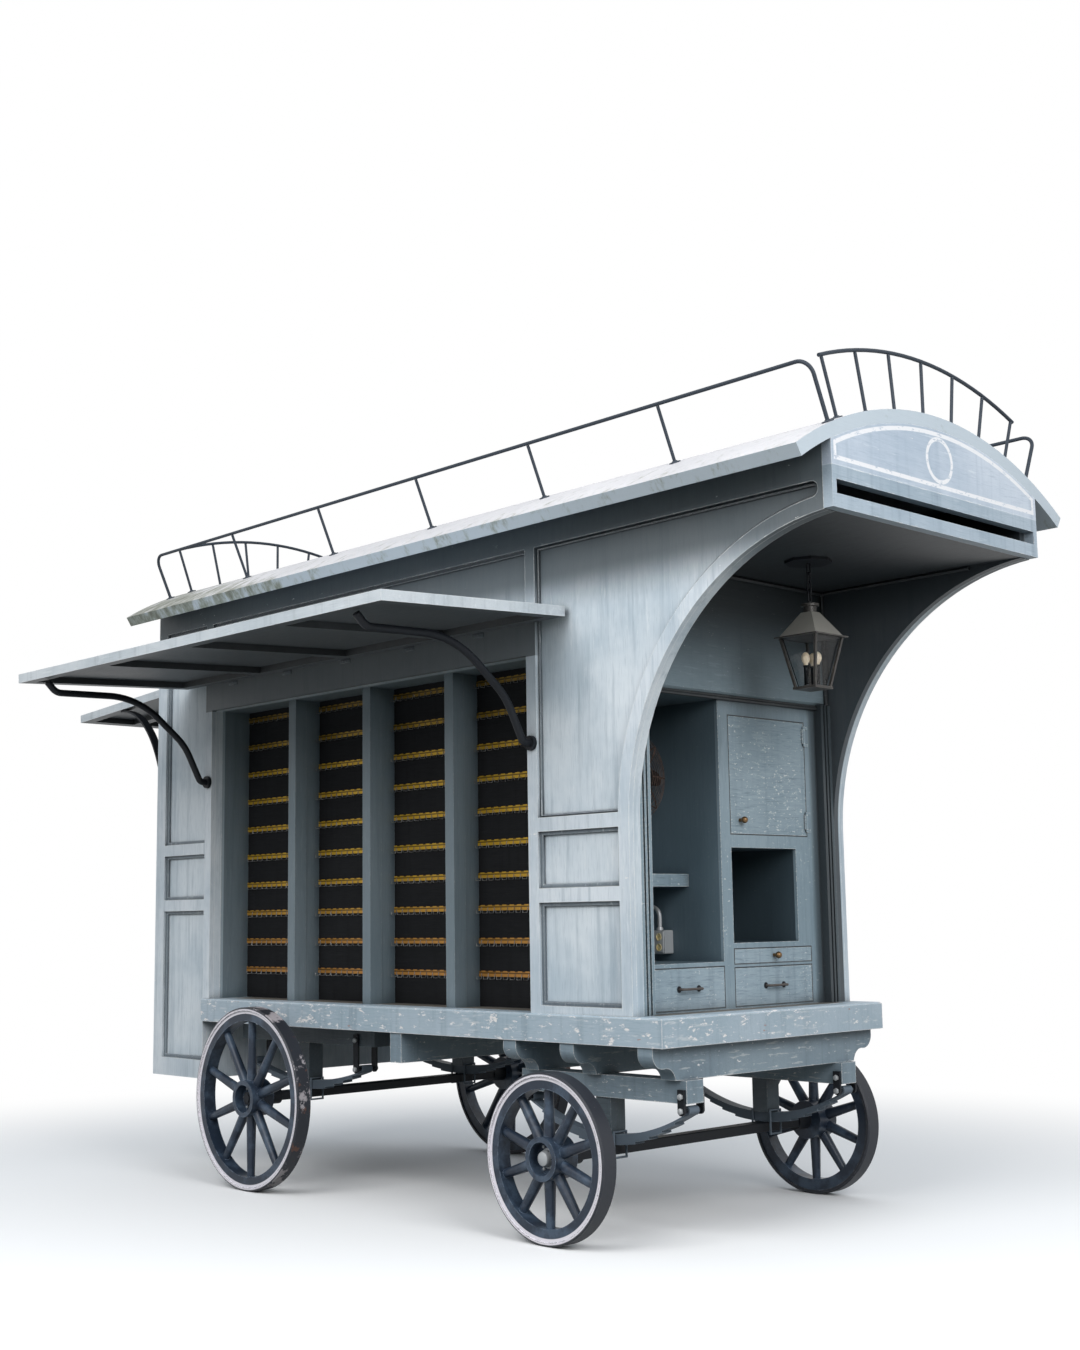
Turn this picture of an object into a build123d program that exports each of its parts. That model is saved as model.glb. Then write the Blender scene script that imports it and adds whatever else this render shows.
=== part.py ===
from math import asin, atan2, cos, degrees, radians, sin, sqrt, tan
import os

from build123d import *

# Vendor's canopy cart: a panelled wooden body with a vaulted roof, on four spoked wheels.
# Modelled in millimetres with x from the rear wall forward, y from the centre plane and z from the ground.
# The near side, with the display bays, faces -Y, and the open canopy end faces +X.

# Body
body_length = 3387.0
body_half = 675.0
frame_thick = 25.0
board_thick = 38.0
canopy_reach = 1005.0
fascia_thick = 40.0
seat_gap = 0.3
running_gap = 0.05

# Heights, each from the one below it
sill_height = 109.0
boot_drop = 280.0
deck_top = 842.0
opening_height = 1433.0
head_to_soffit = 335.0
fascia_height = 152.0
fascia_slot = 51.0
pediment_rise = 297.0

# Roof
roof_radius = 1600.0
roof_thick = 51.0
eave_overhang = 196.0
roof_rear_lip = 10.0

# Side panelling
stile = 56.0
corner_stile = 81.0
boot_length = 458.0
bottom_rail = 30.0
boot_rail = 88.0
lower_panel = 402.0
middle_panel = 225.0
rail_height = 56.0
header_height = 185.0
frieze_rise = 106.0
far_bays = 4

# Arch of the canopy wings
arch_radius = 1040.0
arch_band = 56.0
wing_tail = 52.0

# Display opening
rear_bay = 511.0
front_bay = 556.0
display_depth = 225.0
display_back_thick = 15.0
lining_thick = 20.0
bays = 4
post_recess = 80.0
post_width = 56.0
post_depth = 65.0
partition_step = 4.0
strip_rows = 10
strip_low_margin = 139.0
strip_top_margin = 38.5
strip_height = 24.0
strip_thick = 4.0

# Rear opening, under the rear awning
rear_stile = 182.0
rear_sill_rail = 30.0
rear_depth = 120.0

# Sill and deck
sill_lip = 12.0
sill_ledge = 155.0
sill_width = 110.0
sill_chamfer = 6.0
floor_thick = 30.0

# Beams under the deck
beam_height = 127.0
beam_width = 75.0
beam_end_inset = 8.0
ogee_sweep = 125.0
ogee_toe = 32.0
ogee_spacing = (-400.0, -74.0, 340.0)
square_beam_x = 1945.0
bogie_inset = 28.0
bogie_width = 95.0
front_beam_height = 86.0
front_beam_back = 454.0
front_beam_ahead = 442.0
rear_beam_drop = 86.0
rear_beam_back = 503.0
rear_beam_ahead = 547.0

# Wheels
tread_width = 75.0
wheel_clear = 88.0
spoke_count = 10
front_wheel_back = 317.0
rear_wheel_x = 1093.0
front_tyre_radius = 318.0
rear_tyre_radius = 412.0
tyre_thick = 16.0
rim_depth = 46.0
rim_inset = 6.0
hub_radius = 82.0
hub_cup_radius = 62.0
hub_cup_depth = 45.0
hub_length = 117.0
hub_proud = 12.0
spindle_radius = 20.0
spoke_root_radius = 23.0
spoke_tip_radius = 17.0
spoke_lap = 8.0

# Axles and springs
axle_height = 40.0
axle_width = 60.0
collar_length = 44.0
collar_radius = 36.0
collar_gap = 1.0
nut_radius = 32.0
nut_gap = 0.5
spindle_proud = 25.0
leaf_thick = 8.0
leaf_count = 5
leaf_width = 55.0
spring_half = 420.0
front_spring_rise = 105.0
rear_spring_rise = 60.0
eye_radius = 18.0
pin_radius = 9.0
strap_thick = 10.0
strap_width = 34.0
strap_lap = 52.0
spring_post = 80.0

# Awnings
awning_overhang = 232.0
awning_depth = 935.0
awning_thick = 42.0
awning_skin = 12.0
awning_rail = 60.0
awning_battens = 3
awning_rise = 173.0
awning_slope = 2.7
stay_radius = 16.0
stay_drop = 361.0
stay_inset = 45.0
rosette_radius = 30.0
rear_awning_depth = 895.0
rear_awning_inset = 35.0
rear_awning_slope = 4.0
bracket_reach = 470.0
bracket_drop = 690.0
bracket_thick = 10.0
bracket_width = 45.0
bracket_inset = 4.0

# Roof rails
rail_rod = 7.5
rail_post_rod = 6.5
rail_height_above = 232.0
side_rail_angle = 24.0
side_rail_front_inset = 26.0
side_rail_rear = 60.0
side_rail_posts = 5
end_rail_angle = 20.5
end_rail_posts = 7
post_spread = 0.98
end_rail_front_inset = 62.0
end_rail_rear = 105.0
rail_bend = 60.0

# Cabinet at the canopy end
cabinet_set_back = 37.0
cabinet_depth = 490.0
header_drop = 502.0
front_post_width = 64.0
case_wall = 18.0
divider_near = -98.0
divider_width = 64.0
cabinet_stile = 80.0
niche_stile = 82.0
tall_niche_head = 20.0
door_head = 81.0
door_height = 487.0
door_rail = 54.0
niche_height = 384.0
ledge_height = 23.0
small_drawer_height = 61.0
drawer_rail = 14.0
drawer_foot = 8.0
left_drawer_height = 162.0
front_gap = 2.0
front_thick = 22.0
drawer_depth = 430.0
drawer_wall = 12.0
hinge_pin_radius = 3.0
hinge_inset = 60.0
leaf_plate = 3.0
knuckle_radius = 6.0
knuckle_length = 60.0
knob_radius = 14.0
knob_stem = 25.0
knob_inset = 58.0
pull_half = 58.0
pull_rod = 5.0
pull_reach = 25.0
header_thick = 30.0
header_set_back = 20.0
groove = 10.0

# Lantern under the canopy
lantern_ahead = 378.0
lantern_plate_radius = 95.0
lantern_plate_thick = 12.0
lantern_plate_sides = 8
lantern_drop = 177.0
lantern_roof_height = 137.0
lantern_body_height = 205.0
lantern_rim_side = 172.0
lantern_foot_side = 92.0
lantern_bar = 10.0
lantern_eave = 18.0
lantern_eave_thick = 5.0
lantern_neck_radius = 26.0
lantern_disc_radius = 36.0
lantern_neck_height = 34.0
chain_links = 4
chain_wire = 3.5
chain_bend = 8.0
chain_lap = 0.5
candle_count = 3
candle_radius = 9.0
candle_height = 62.0
bulb_radius = 13.0
glass_thick = 3.0

# Fan, shelf and socket box in the tall niche
fan_set_back = 230.0
fan_below_head = 308.0
fan_clear = 34.0
guard_depth = 84.0
guard_wire = 5.0
guard_rings = 5
guard_spokes = 8
motor_radius = 55.0
motor_length = 110.0
shaft_radius = 8.0
shaft_length = 50.0
blade_count = 4
blade_hub_radius = 30.0
blade_hub_length = 34.0
blade_clear = 18.0
blade_chord = 74.0
blade_pitch = 24.0
blade_thick = 3.0
blade_root = 14.0
shelf_set_back = 178.0
shelf_rise = 302.0
shelf_thick = 51.0
socket_side = 96.0
socket_depth = 52.0
socket_set_back = 320.0
socket_rise = 78.0

# Pipe in the open niche
pipe_radius = 22.0
pipe_set_back = 230.0
pipe_clear = 95.0

# Worked-out heights
sill_bottom = deck_top - sill_height
boot_bottom = sill_bottom - boot_drop
head_z = deck_top + opening_height
soffit_z = head_z + head_to_soffit
seam_z = soffit_z + fascia_height
roof_peak = seam_z + pediment_rise
lower_rail_z = deck_top + bottom_rail + lower_panel
upper_rail_z = lower_rail_z + rail_height + middle_panel
frieze_z = soffit_z + frieze_rise
rear_open_low = deck_top + rear_sill_rail
beam_bottom = sill_bottom - beam_height
strip_low_z = deck_top + strip_low_margin
strip_pitch = (opening_height - strip_low_margin - strip_top_margin) / (strip_rows - 1)
awning_top_z = head_z + awning_rise
stay_foot_z = head_z - stay_drop

# Worked-out places along the body
canopy_front = body_length + canopy_reach
wing_front = canopy_front - fascia_thick
opening_start = rear_bay
opening_end = body_length - front_bay
opening_mid = (opening_start + opening_end) / 2
bay_pitch = (opening_end - opening_start) / bays
partition_half = post_width / 2 - partition_step
arch_x = body_length + arch_radius
arch_z = soffit_z - arch_radius
sill_start = boot_length
sill_front = body_length + sill_ledge
front_wheel_x = body_length - front_wheel_back
ogee_starts = [front_wheel_x + space for space in ogee_spacing]
side_rail_front = canopy_front - side_rail_front_inset
end_rail_front = canopy_front - end_rail_front_inset

# Worked-out places across the body
board_outer = body_half - frame_thick
board_inner = board_outer - board_thick
sill_half = body_half + sill_lip
floor_half = sill_half - sill_width
eave_half = body_half + eave_overhang
display_back_y = body_half - display_depth
rear_open_half = board_inner - rear_stile
rear_awning_half = body_half - rear_awning_inset
bracket_half = board_inner - bracket_inset
ogee_top_half = sill_half - beam_end_inset
ogee_bottom_half = ogee_top_half - ogee_sweep
bogie_mid = ogee_bottom_half - bogie_inset - bogie_width / 2
wheel_face = sill_half + wheel_clear + tread_width
hub_face = wheel_face + hub_proud
hub_back = hub_face - hub_length
axle_half = hub_back - collar_gap - collar_length

# Worked-out roof
roof_centre = roof_peak - roof_radius
roof_under = roof_radius - roof_thick - seat_gap
wall_top = roof_centre + sqrt(roof_under**2 - body_half**2)

# Worked-out awnings
awning_half = (opening_end - opening_start) / 2 + awning_overhang
awning_drop = radians(awning_slope)
awning_foot = body_half + awning_thick * sin(awning_drop) + seat_gap
near_reach = awning_foot + awning_depth * cos(awning_drop)
rear_drop = radians(rear_awning_slope)
rear_foot = awning_thick * sin(rear_drop) + seat_gap
rear_reach = rear_foot + rear_awning_depth * cos(rear_drop)

# Worked-out cabinet
cabinet_face = body_length - cabinet_set_back
cabinet_back = cabinet_face - cabinet_depth
cabinet_top = soffit_z - header_drop
cabinet_half = board_inner - front_post_width
divider_far = divider_near + divider_width
tall_near = case_wall - cabinet_half
door_far = cabinet_half - cabinet_stile
niche_far = door_far - niche_stile
door_high = cabinet_top - door_head
door_low = door_high - door_height
niche_high = door_low - door_rail
niche_low = niche_high - niche_height
small_drawer_high = niche_low - ledge_height
small_drawer_low = small_drawer_high - small_drawer_height
large_drawer_high = small_drawer_low - drawer_rail
drawer_low = deck_top + drawer_foot
left_drawer_high = drawer_low + left_drawer_height
tall_niche_low = left_drawer_high + case_wall
tall_niche_high = cabinet_top - tall_niche_head
shelf_front = cabinet_face - shelf_set_back
shelf_low = tall_niche_low + shelf_rise
socket_x = cabinet_face - socket_set_back
socket_z = tall_niche_low + socket_rise
pipe_x = cabinet_face - pipe_set_back
pipe_y = divider_far + pipe_clear
fan_x = cabinet_face - fan_set_back
fan_y = (tall_near + divider_near) / 2
fan_z = tall_niche_high - fan_below_head
fan_radius = (divider_near - tall_near) / 2 - fan_clear
blade_tip_radius = fan_radius - blade_clear

# Worked-out lantern
lantern_x = body_length + lantern_ahead
lantern_cap = soffit_z - lantern_drop
lantern_rim = lantern_cap - lantern_roof_height
lantern_low = lantern_rim - lantern_body_height

# The saved frame has its origin on the ground in the middle of the overall plan
mid_x = (canopy_front - rear_reach) / 2
mid_y = (eave_half - near_reach) / 2
shift = Location((-mid_x, -mid_y, 0))

os.makedirs("parts", exist_ok=True)


def save(piece, name):
    piece.label = name
    placed = piece.moved(shift)
    placed.label = name
    export_step(placed, f"parts/{name}.step")


def block(x, y, z, mode=Mode.ADD):
    with Locations(((x[0] + x[1]) / 2, (y[0] + y[1]) / 2, (z[0] + z[1]) / 2)):
        Box(x[1] - x[0], y[1] - y[0], z[1] - z[0], mode=mode)


def field(x, z, mode=Mode.SUBTRACT):
    with Locations(((x[0] + x[1]) / 2, (z[0] + z[1]) / 2)):
        Rectangle(x[1] - x[0], z[1] - z[0], mode=mode)


def side_plane(side, y):
    # Sketch plane on a side wall, x forward and z up; side is -1 on the near side and 1 on the far side
    return Plane.XZ.offset(-side * y)


def roof_arc(radius, half_width):
    # Points of an arc about the roof's centre line, from one side over the top to the other
    edge_z = roof_centre + sqrt(radius**2 - half_width**2)
    return (-half_width, edge_z), (0, roof_centre + radius), (half_width, edge_z)


# Side walls

def wall_outline():
    # Boot, deck line, straight post, arch up to the canopy's front and the flat top under the roof
    meet_z = arch_z + sqrt(arch_radius**2 - (arch_x - wing_front) ** 2)
    middle = radians((180 + degrees(asin((wing_front - arch_x) / arch_radius)) + 90) / 2)
    with BuildLine() as outline:
        Polyline((body_length, arch_z), (body_length, deck_top), (boot_length, deck_top),
                 (boot_length, boot_bottom), (0, boot_bottom), (0, wall_top), (wing_front, wall_top),
                 (wing_front, meet_z))
        ThreePointArc((wing_front, meet_z),
                      (arch_x + arch_radius * cos(middle), arch_z + arch_radius * sin(middle)),
                      (body_length, arch_z))
    make_face(outline.edges())


def wing_field():
    # Upper front panel: it follows the arch band and runs out in a narrow rounded tail
    outer = arch_radius + arch_band
    tail_x = wing_front - wing_tail
    tail_z = arch_z + sqrt(outer**2 - (arch_x - tail_x) ** 2)
    left = opening_end + stile
    bottom = upper_rail_z + rail_height
    start_x = body_length - arch_band
    middle = radians((180 + degrees(atan2(tail_z - arch_z, tail_x - arch_x))) / 2)
    with BuildLine() as outline:
        Polyline((start_x, arch_z), (start_x, bottom), (left, bottom), (left, frieze_z), (tail_x, frieze_z))
        ThreePointArc((tail_x, frieze_z), (tail_x + (frieze_z - tail_z) / 2, (frieze_z + tail_z) / 2),
                      (tail_x, tail_z))
        ThreePointArc((tail_x, tail_z), (arch_x + outer * cos(middle), arch_z + outer * sin(middle)),
                      (start_x, arch_z))
    make_face(outline.edges(), mode=Mode.SUBTRACT)


def side_frame(side):
    with BuildPart() as frame:
        with BuildSketch(side_plane(side, body_half)):
            wall_outline()
            lower = lower_rail_z + rail_height
            upper = upper_rail_z + rail_height
            rear = (corner_stile, opening_start - stile)
            front = (opening_end + stile, body_length - arch_band)
            field(rear, (boot_bottom + boot_rail, lower_rail_z))
            field(rear, (lower, upper_rail_z))
            field(rear, (upper, frieze_z))
            field(front, (deck_top + bottom_rail, lower_rail_z))
            field(front, (lower, upper_rail_z))
            wing_field()
            field((opening_start, opening_end), (head_z + header_height, frieze_z))
            if side < 0:
                field((opening_start, opening_end), (deck_top, head_z))
            else:
                pitch = (opening_end - opening_start + stile) / far_bays
                for bay in range(far_bays):
                    start = opening_start + bay * pitch
                    across = (start, start + pitch - stile)
                    field(across, (deck_top + bottom_rail, lower_rail_z))
                    field(across, (lower, upper_rail_z))
                    field(across, (upper, head_z))
        extrude(amount=side * frame_thick)
    return frame.part


def side_board(side):
    with BuildPart() as board:
        with BuildSketch(side_plane(side, board_outer)):
            wall_outline()
            if side < 0:
                field((opening_start, opening_end), (deck_top, head_z))
        extrude(amount=side * board_thick)
    return board.part


for side, name in ((-1, "near"), (1, "far")):
    save(side_frame(side), f"side_frame_{name}")
    save(side_board(side), f"side_board_{name}")


# Rear wall, rising to the vault

def gable(bottom, half):
    start, crown, end = roof_arc(roof_under, half)
    with BuildLine() as outline:
        Polyline(end, (half, bottom), (-half, bottom), start)
        ThreePointArc(start, crown, end)
    make_face(outline.edges())


with BuildPart() as rear_frame:
    with BuildSketch(Plane.YZ):
        gable(boot_bottom, board_inner)
        field((-rear_open_half, rear_open_half), (rear_open_low, head_z))
        for low, high in ((-board_inner + stile, -stile / 2), (stile / 2, board_inner - stile)):
            field((low, high), (boot_bottom + boot_rail, rear_open_low - boot_rail))
        field((-board_inner + stile, board_inner - stile), (head_z + header_height, frieze_z))
    extrude(amount=frame_thick)
save(rear_frame.part, "rear_frame")

with BuildPart() as rear_board:
    with BuildSketch(Plane.YZ.offset(frame_thick)):
        gable(boot_bottom, board_inner)
        field((-rear_open_half, rear_open_half), (rear_open_low, head_z))
    extrude(amount=board_thick)
save(rear_board.part, "rear_board")

rear_inner = frame_thick + board_thick
with BuildPart() as boot_box:
    # Floor and front wall of the low box behind the rear wheels
    wall_x = boot_length - board_thick
    floor_z = boot_bottom + board_thick
    with BuildSketch(Plane.XZ.offset(-board_inner)):
        with BuildLine():
            Polyline((rear_inner, boot_bottom), (boot_length, boot_bottom), (boot_length, sill_bottom),
                     (wall_x, sill_bottom), (wall_x, floor_z), (rear_inner, floor_z), close=True)
        make_face()
    extrude(amount=2 * board_inner)
save(boot_box.part, "boot_box")

# Roof slab with its edges cut square to the curve

with BuildPart() as roof:
    edge_angle = asin(eave_half / roof_radius)
    inner = roof_radius - roof_thick
    with BuildSketch(Plane.YZ.offset(-roof_rear_lip)):
        with BuildLine():
            top = roof_arc(roof_radius, eave_half)
            under = roof_arc(inner, inner * sin(edge_angle))
            ThreePointArc(*top)
            Line(top[2], under[2])
            ThreePointArc(*reversed(under))
            Line(under[0], top[0])
        make_face()
    extrude(amount=canopy_front + roof_rear_lip)
save(roof.part, "roof")

# Fascia with its long slot, pediment above it and soffit behind

with BuildPart() as fascia:
    with BuildSketch(Plane.YZ.offset(wing_front)):
        field((-body_half, body_half), (soffit_z, seam_z), Mode.ADD)
        with Locations((0, (soffit_z + seam_z) / 2)):
            Rectangle(2 * board_outer, fascia_slot, mode=Mode.SUBTRACT)
    extrude(amount=fascia_thick)
save(fascia.part, "fascia")

with BuildPart() as pediment:
    with BuildSketch(Plane.YZ.offset(wing_front)):
        gable(seam_z, body_half)
    extrude(amount=fascia_thick)
save(pediment.part, "pediment")

with BuildPart() as soffit:
    header_front = body_length - header_set_back
    block((header_front, wing_front), (-board_inner, board_inner), (soffit_z, soffit_z + lining_thick))
save(soffit.part, "soffit")

with BuildPart() as front_header:
    block((header_front - header_thick, header_front), (-board_inner, board_inner),
          (cabinet_top, soffit_z + lining_thick))
    lower_edge = front_header.edges().group_by(Axis.Z)[0].sort_by(Axis.X)[-1]
    chamfer(lower_edge, header_thick / 3)
save(front_header.part, "front_header")

with BuildPart() as front_posts:
    # Grooved posts between the wings and the cabinet
    for side in (-1, 1):
        inner_y, outer_y = cabinet_half, board_inner
        edges = (side * inner_y, side * outer_y)
        block((cabinet_face - front_thick, body_length), (min(edges), max(edges)), (deck_top, cabinet_top))
        for step in (1, 2):
            centre = side * (inner_y + step * (outer_y - inner_y) / 3)
            block((body_length - groove, body_length), (centre - groove / 2, centre + groove / 2),
                  (deck_top, cabinet_top), Mode.SUBTRACT)
save(front_posts.part, "front_posts")

# Sill ring and the floor boards inside it

with BuildPart() as deck_sill:
    with BuildSketch(Plane.XY.offset(sill_bottom)):
        field((sill_start, sill_front), (-sill_half, sill_half), Mode.ADD)
        field((sill_start + sill_width, sill_front - sill_width), (-floor_half, floor_half))
    extrude(amount=deck_top - sill_bottom)
    chamfer(deck_sill.edges().group_by(Axis.Z)[-1].filter_by(Axis.X).sort_by(Axis.Y)[0], sill_chamfer)
    chamfer(deck_sill.edges().group_by(Axis.Z)[-1].filter_by(Axis.Y).sort_by(Axis.X)[-1], sill_chamfer)
save(deck_sill.part, "deck_sill")

with BuildPart() as deck_floor:
    block((sill_start + sill_width, sill_front - sill_width), (-floor_half, floor_half),
          (deck_top - floor_thick, deck_top))
save(deck_floor.part, "deck_floor")

# Cross beams: three with ogee ends near the front wheels, a square one further back

def ogee_profile():
    # Each end drops from the sill by a short toe, then sweeps in by two arcs of opposite curve
    top = sill_bottom - ogee_toe
    mid_y = (ogee_top_half + ogee_bottom_half) / 2
    mid_z = (top + beam_bottom) / 2
    upper_y = (ogee_top_half + mid_y) / 2
    lower_y = (ogee_bottom_half + mid_y) / 2
    bulge = (top - beam_bottom) / 8
    with BuildLine() as outline:
        for side in (-1, 1):
            Line((side * ogee_top_half, sill_bottom), (side * ogee_top_half, top))
            ThreePointArc((side * ogee_top_half, top),
                          (side * (upper_y + bulge), (top + mid_z) / 2 - bulge),
                          (side * mid_y, mid_z))
            ThreePointArc((side * mid_y, mid_z),
                          (side * (lower_y - bulge), (beam_bottom + mid_z) / 2 + bulge),
                          (side * ogee_bottom_half, beam_bottom))
        Line((-ogee_top_half, sill_bottom), (ogee_top_half, sill_bottom))
        Line((-ogee_bottom_half, beam_bottom), (ogee_bottom_half, beam_bottom))
    make_face(outline.edges())


with BuildPart() as cross_beams:
    for start in ogee_starts:
        with BuildSketch(Plane.YZ.offset(start)):
            ogee_profile()
        extrude(amount=beam_width)
    block((square_beam_x, square_beam_x + beam_width), (-ogee_top_half, ogee_top_half),
          (beam_bottom, sill_bottom))
save(cross_beams.part, "cross_beams")

# Longitudinal beams over the springs: under the cross beams in front, under the floor behind
# start, end, bottom, top
front_beam = (front_wheel_x - front_beam_back, front_wheel_x + front_beam_ahead,
              beam_bottom - front_beam_height, beam_bottom)
rear_beam = (rear_wheel_x - rear_beam_back, rear_wheel_x + rear_beam_ahead,
             sill_bottom - rear_beam_drop, deck_top - floor_thick)

# name, wheel centre x, tyre radius, beam, rise of the spring's ends
axles = (
    ("front", front_wheel_x, front_tyre_radius, front_beam, front_spring_rise),
    ("rear", rear_wheel_x, rear_tyre_radius, rear_beam, rear_spring_rise),
)


def spring_top(radius):
    return radius + axle_height / 2 + leaf_count * leaf_thick


def spring_curve(rise):
    return (spring_half**2 + rise**2) / (2 * rise)


def eye_height(radius, rise):
    # Middle of a spring's eye, whose foot is the end of the top leaf
    return spring_top(radius) + rise + eye_radius - leaf_thick


for name, wheel_x, radius, (start, end, low, high), rise in axles:
    curve = spring_curve(rise)
    centre_z = spring_top(radius) + curve
    sweep_angle = degrees(asin(spring_half / curve))
    eye_z = eye_height(radius, rise)

    with BuildPart() as beams:
        for side in (-1, 1):
            centre = side * bogie_mid
            block((start, end), (centre - bogie_width / 2, centre + bogie_width / 2), (low, high))
    save(beams.part, f"{name}_beams")

    with BuildPart() as springs:
        for side in (-1, 1):
            with BuildSketch(Plane.XZ.offset(-side * bogie_mid - leaf_width / 2)):
                for leaf in range(leaf_count):
                    near_r = curve + leaf * leaf_thick
                    far_r = near_r + leaf_thick
                    half_turn = sweep_angle * (1 - leaf / (leaf_count + 1))
                    with BuildLine():
                        inner_arc = CenterArc((wheel_x, centre_z), near_r, 270 - half_turn, 2 * half_turn)
                        outer_arc = CenterArc((wheel_x, centre_z), far_r, 270 - half_turn, 2 * half_turn)
                        Line(inner_arc @ 0, outer_arc @ 0)
                        Line(inner_arc @ 1, outer_arc @ 1)
                    make_face()
                with Locations((wheel_x - spring_half, eye_z), (wheel_x + spring_half, eye_z)):
                    Circle(eye_radius)
                with Locations((wheel_x - spring_half, eye_z), (wheel_x + spring_half, eye_z)):
                    Circle(pin_radius + running_gap, mode=Mode.SUBTRACT)
            extrude(amount=leaf_width)
    save(springs.part, f"{name}_springs")

    with BuildPart() as axle:
        block((wheel_x - axle_width / 2, wheel_x + axle_width / 2), (-axle_half, axle_half),
              (radius - axle_height / 2, radius + axle_height / 2))
        fillet(axle.edges().filter_by(Axis.Y), axle_height / 8)
        cup_floor = hub_face - hub_cup_depth
        # start and end out from the centre plane, radius of each turned step
        steps = (
            (axle_half - collar_radius, hub_back - collar_gap, collar_radius),
            (hub_back - collar_gap, cup_floor + spindle_proud, spindle_radius),
        )
        for side in (-1, 1):
            for inner, outer, step_radius in steps:
                with BuildSketch(side_plane(side, inner)):
                    with Locations((wheel_x, radius)):
                        Circle(step_radius)
                extrude(amount=-side * (outer - inner))
            with BuildSketch(side_plane(side, cup_floor + nut_gap)):
                with Locations((wheel_x, radius)):
                    RegularPolygon(nut_radius, 6)
            extrude(amount=-side * spindle_radius)
    save(axle.part, f"{name}_axle")

with BuildPart() as spring_posts:
    # Blocks between the springs and the beams above them
    for name, wheel_x, radius, (start, end, low, high), rise in axles:
        curve = spring_curve(rise)
        leaf_rise = curve - sqrt(curve**2 - (spring_post / 2) ** 2)
        for side in (-1, 1):
            block((wheel_x - spring_post / 2, wheel_x + spring_post / 2),
                  (side * bogie_mid - spring_post / 2, side * bogie_mid + spring_post / 2),
                  (spring_top(radius) + leaf_rise + seat_gap, low))
save(spring_posts.part, "spring_posts")

with BuildPart() as spring_shackles:
    # Two straps and a pin at each spring eye
    for name, wheel_x, radius, (start, end, low, high), rise in axles:
        eye_z = eye_height(radius, rise)
        strap_top = low + strap_lap
        for side in (-1, 1):
            for eye_x in (wheel_x - spring_half, wheel_x + spring_half):
                for face in (-1, 1):
                    strap_y = side * bogie_mid + face * (bogie_width + strap_thick) / 2
                    with BuildSketch(Plane.XZ.offset(-strap_y - strap_thick / 2)):
                        with Locations((eye_x, (eye_z + strap_top) / 2)):
                            Rectangle(strap_width, strap_top - eye_z)
                        with Locations((eye_x, eye_z)):
                            Circle(strap_width / 2)
                    extrude(amount=strap_thick)
                with BuildSketch(Plane.XZ.offset(-side * bogie_mid - bogie_width / 2 - strap_thick)):
                    with Locations((eye_x, eye_z)):
                        Circle(pin_radius)
                extrude(amount=bogie_width + 2 * strap_thick)
save(spring_shackles.part, "spring_shackles")

# Wheels: a turned hub with a cup, tapered spokes, a rim and its tyre

for name, wheel_x, radius, beam, rise in axles:
    rim_outer = radius - tyre_thick
    rim_inner = rim_outer - rim_depth
    face = Plane(origin=(wheel_x, -wheel_face, radius), x_dir=(1, 0, 0), z_dir=(0, -1, 0))
    middle = face.offset(-tread_width / 2)
    hub_plane = face.offset(hub_face - wheel_face)
    spoke_root = hub_radius - spoke_lap
    spoke_length = rim_inner + rim_depth / 3 - spoke_root
    with BuildPart() as wheel:
        with BuildSketch(face.offset(-rim_inset)):
            Circle(rim_outer)
            Circle(rim_inner, mode=Mode.SUBTRACT)
        extrude(amount=-(tread_width - 2 * rim_inset))
        with BuildSketch(hub_plane):
            Circle(hub_radius)
        extrude(amount=-(hub_face - hub_back))
        for spoke in range(spoke_count):
            turn = radians(360 * (spoke + 0.5) / spoke_count)
            along = middle.x_dir * cos(turn) + middle.y_dir * sin(turn)
            with Locations(Plane(middle.origin + along * spoke_root, x_dir=middle.z_dir, z_dir=along)):
                Cone(spoke_root_radius, spoke_tip_radius, spoke_length,
                     align=(Align.CENTER, Align.CENTER, Align.MIN))
        with BuildSketch(hub_plane):
            Circle(hub_cup_radius)
        extrude(amount=-hub_cup_depth, mode=Mode.SUBTRACT)
        with BuildSketch(hub_plane):
            Circle(spindle_radius + running_gap)
        extrude(amount=-(hub_face - hub_back), mode=Mode.SUBTRACT)
    with BuildPart() as tyre:
        with BuildSketch(face):
            Circle(radius)
            Circle(rim_outer, mode=Mode.SUBTRACT)
        extrude(amount=-tread_width)
        chamfer(tyre.edges().filter_by(GeomType.CIRCLE).sort_by(SortBy.RADIUS)[-2:], tyre_thick / 3)
    for piece, kind in ((wheel.part, "wheel"), (tyre.part, "tyre")):
        save(piece, f"{kind}_{name}_near")
        save(mirror(piece, about=Plane.XZ), f"{kind}_{name}_far")

# Display bays: lining, black back, dividers and the strips that carry hooks

back_face = -display_back_y
lining = (opening_start - lining_thick, opening_end + lining_thick)
with BuildPart() as display_case:
    with BuildSketch(side_plane(-1, board_inner)):
        field(lining, (deck_top, head_z + lining_thick), Mode.ADD)
        field((opening_start, opening_end), (deck_top, head_z))
    extrude(amount=-(board_inner - display_back_y))
    with BuildSketch(Plane.YZ.offset(rear_inner)):
        field((-rear_open_half - lining_thick, rear_open_half + lining_thick),
              (rear_open_low - lining_thick, head_z + lining_thick), Mode.ADD)
        field((-rear_open_half, rear_open_half), (rear_open_low, head_z))
    extrude(amount=rear_depth - rear_inner)
save(display_case.part, "display_case")

with BuildPart() as display_back:
    block(lining, (back_face, back_face + display_back_thick), (deck_top, head_z + lining_thick))
    block((rear_depth, rear_depth + display_back_thick),
          (-rear_open_half - lining_thick, rear_open_half + lining_thick),
          (rear_open_low - lining_thick, head_z + lining_thick))
save(display_back.part, "display_back")

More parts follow.
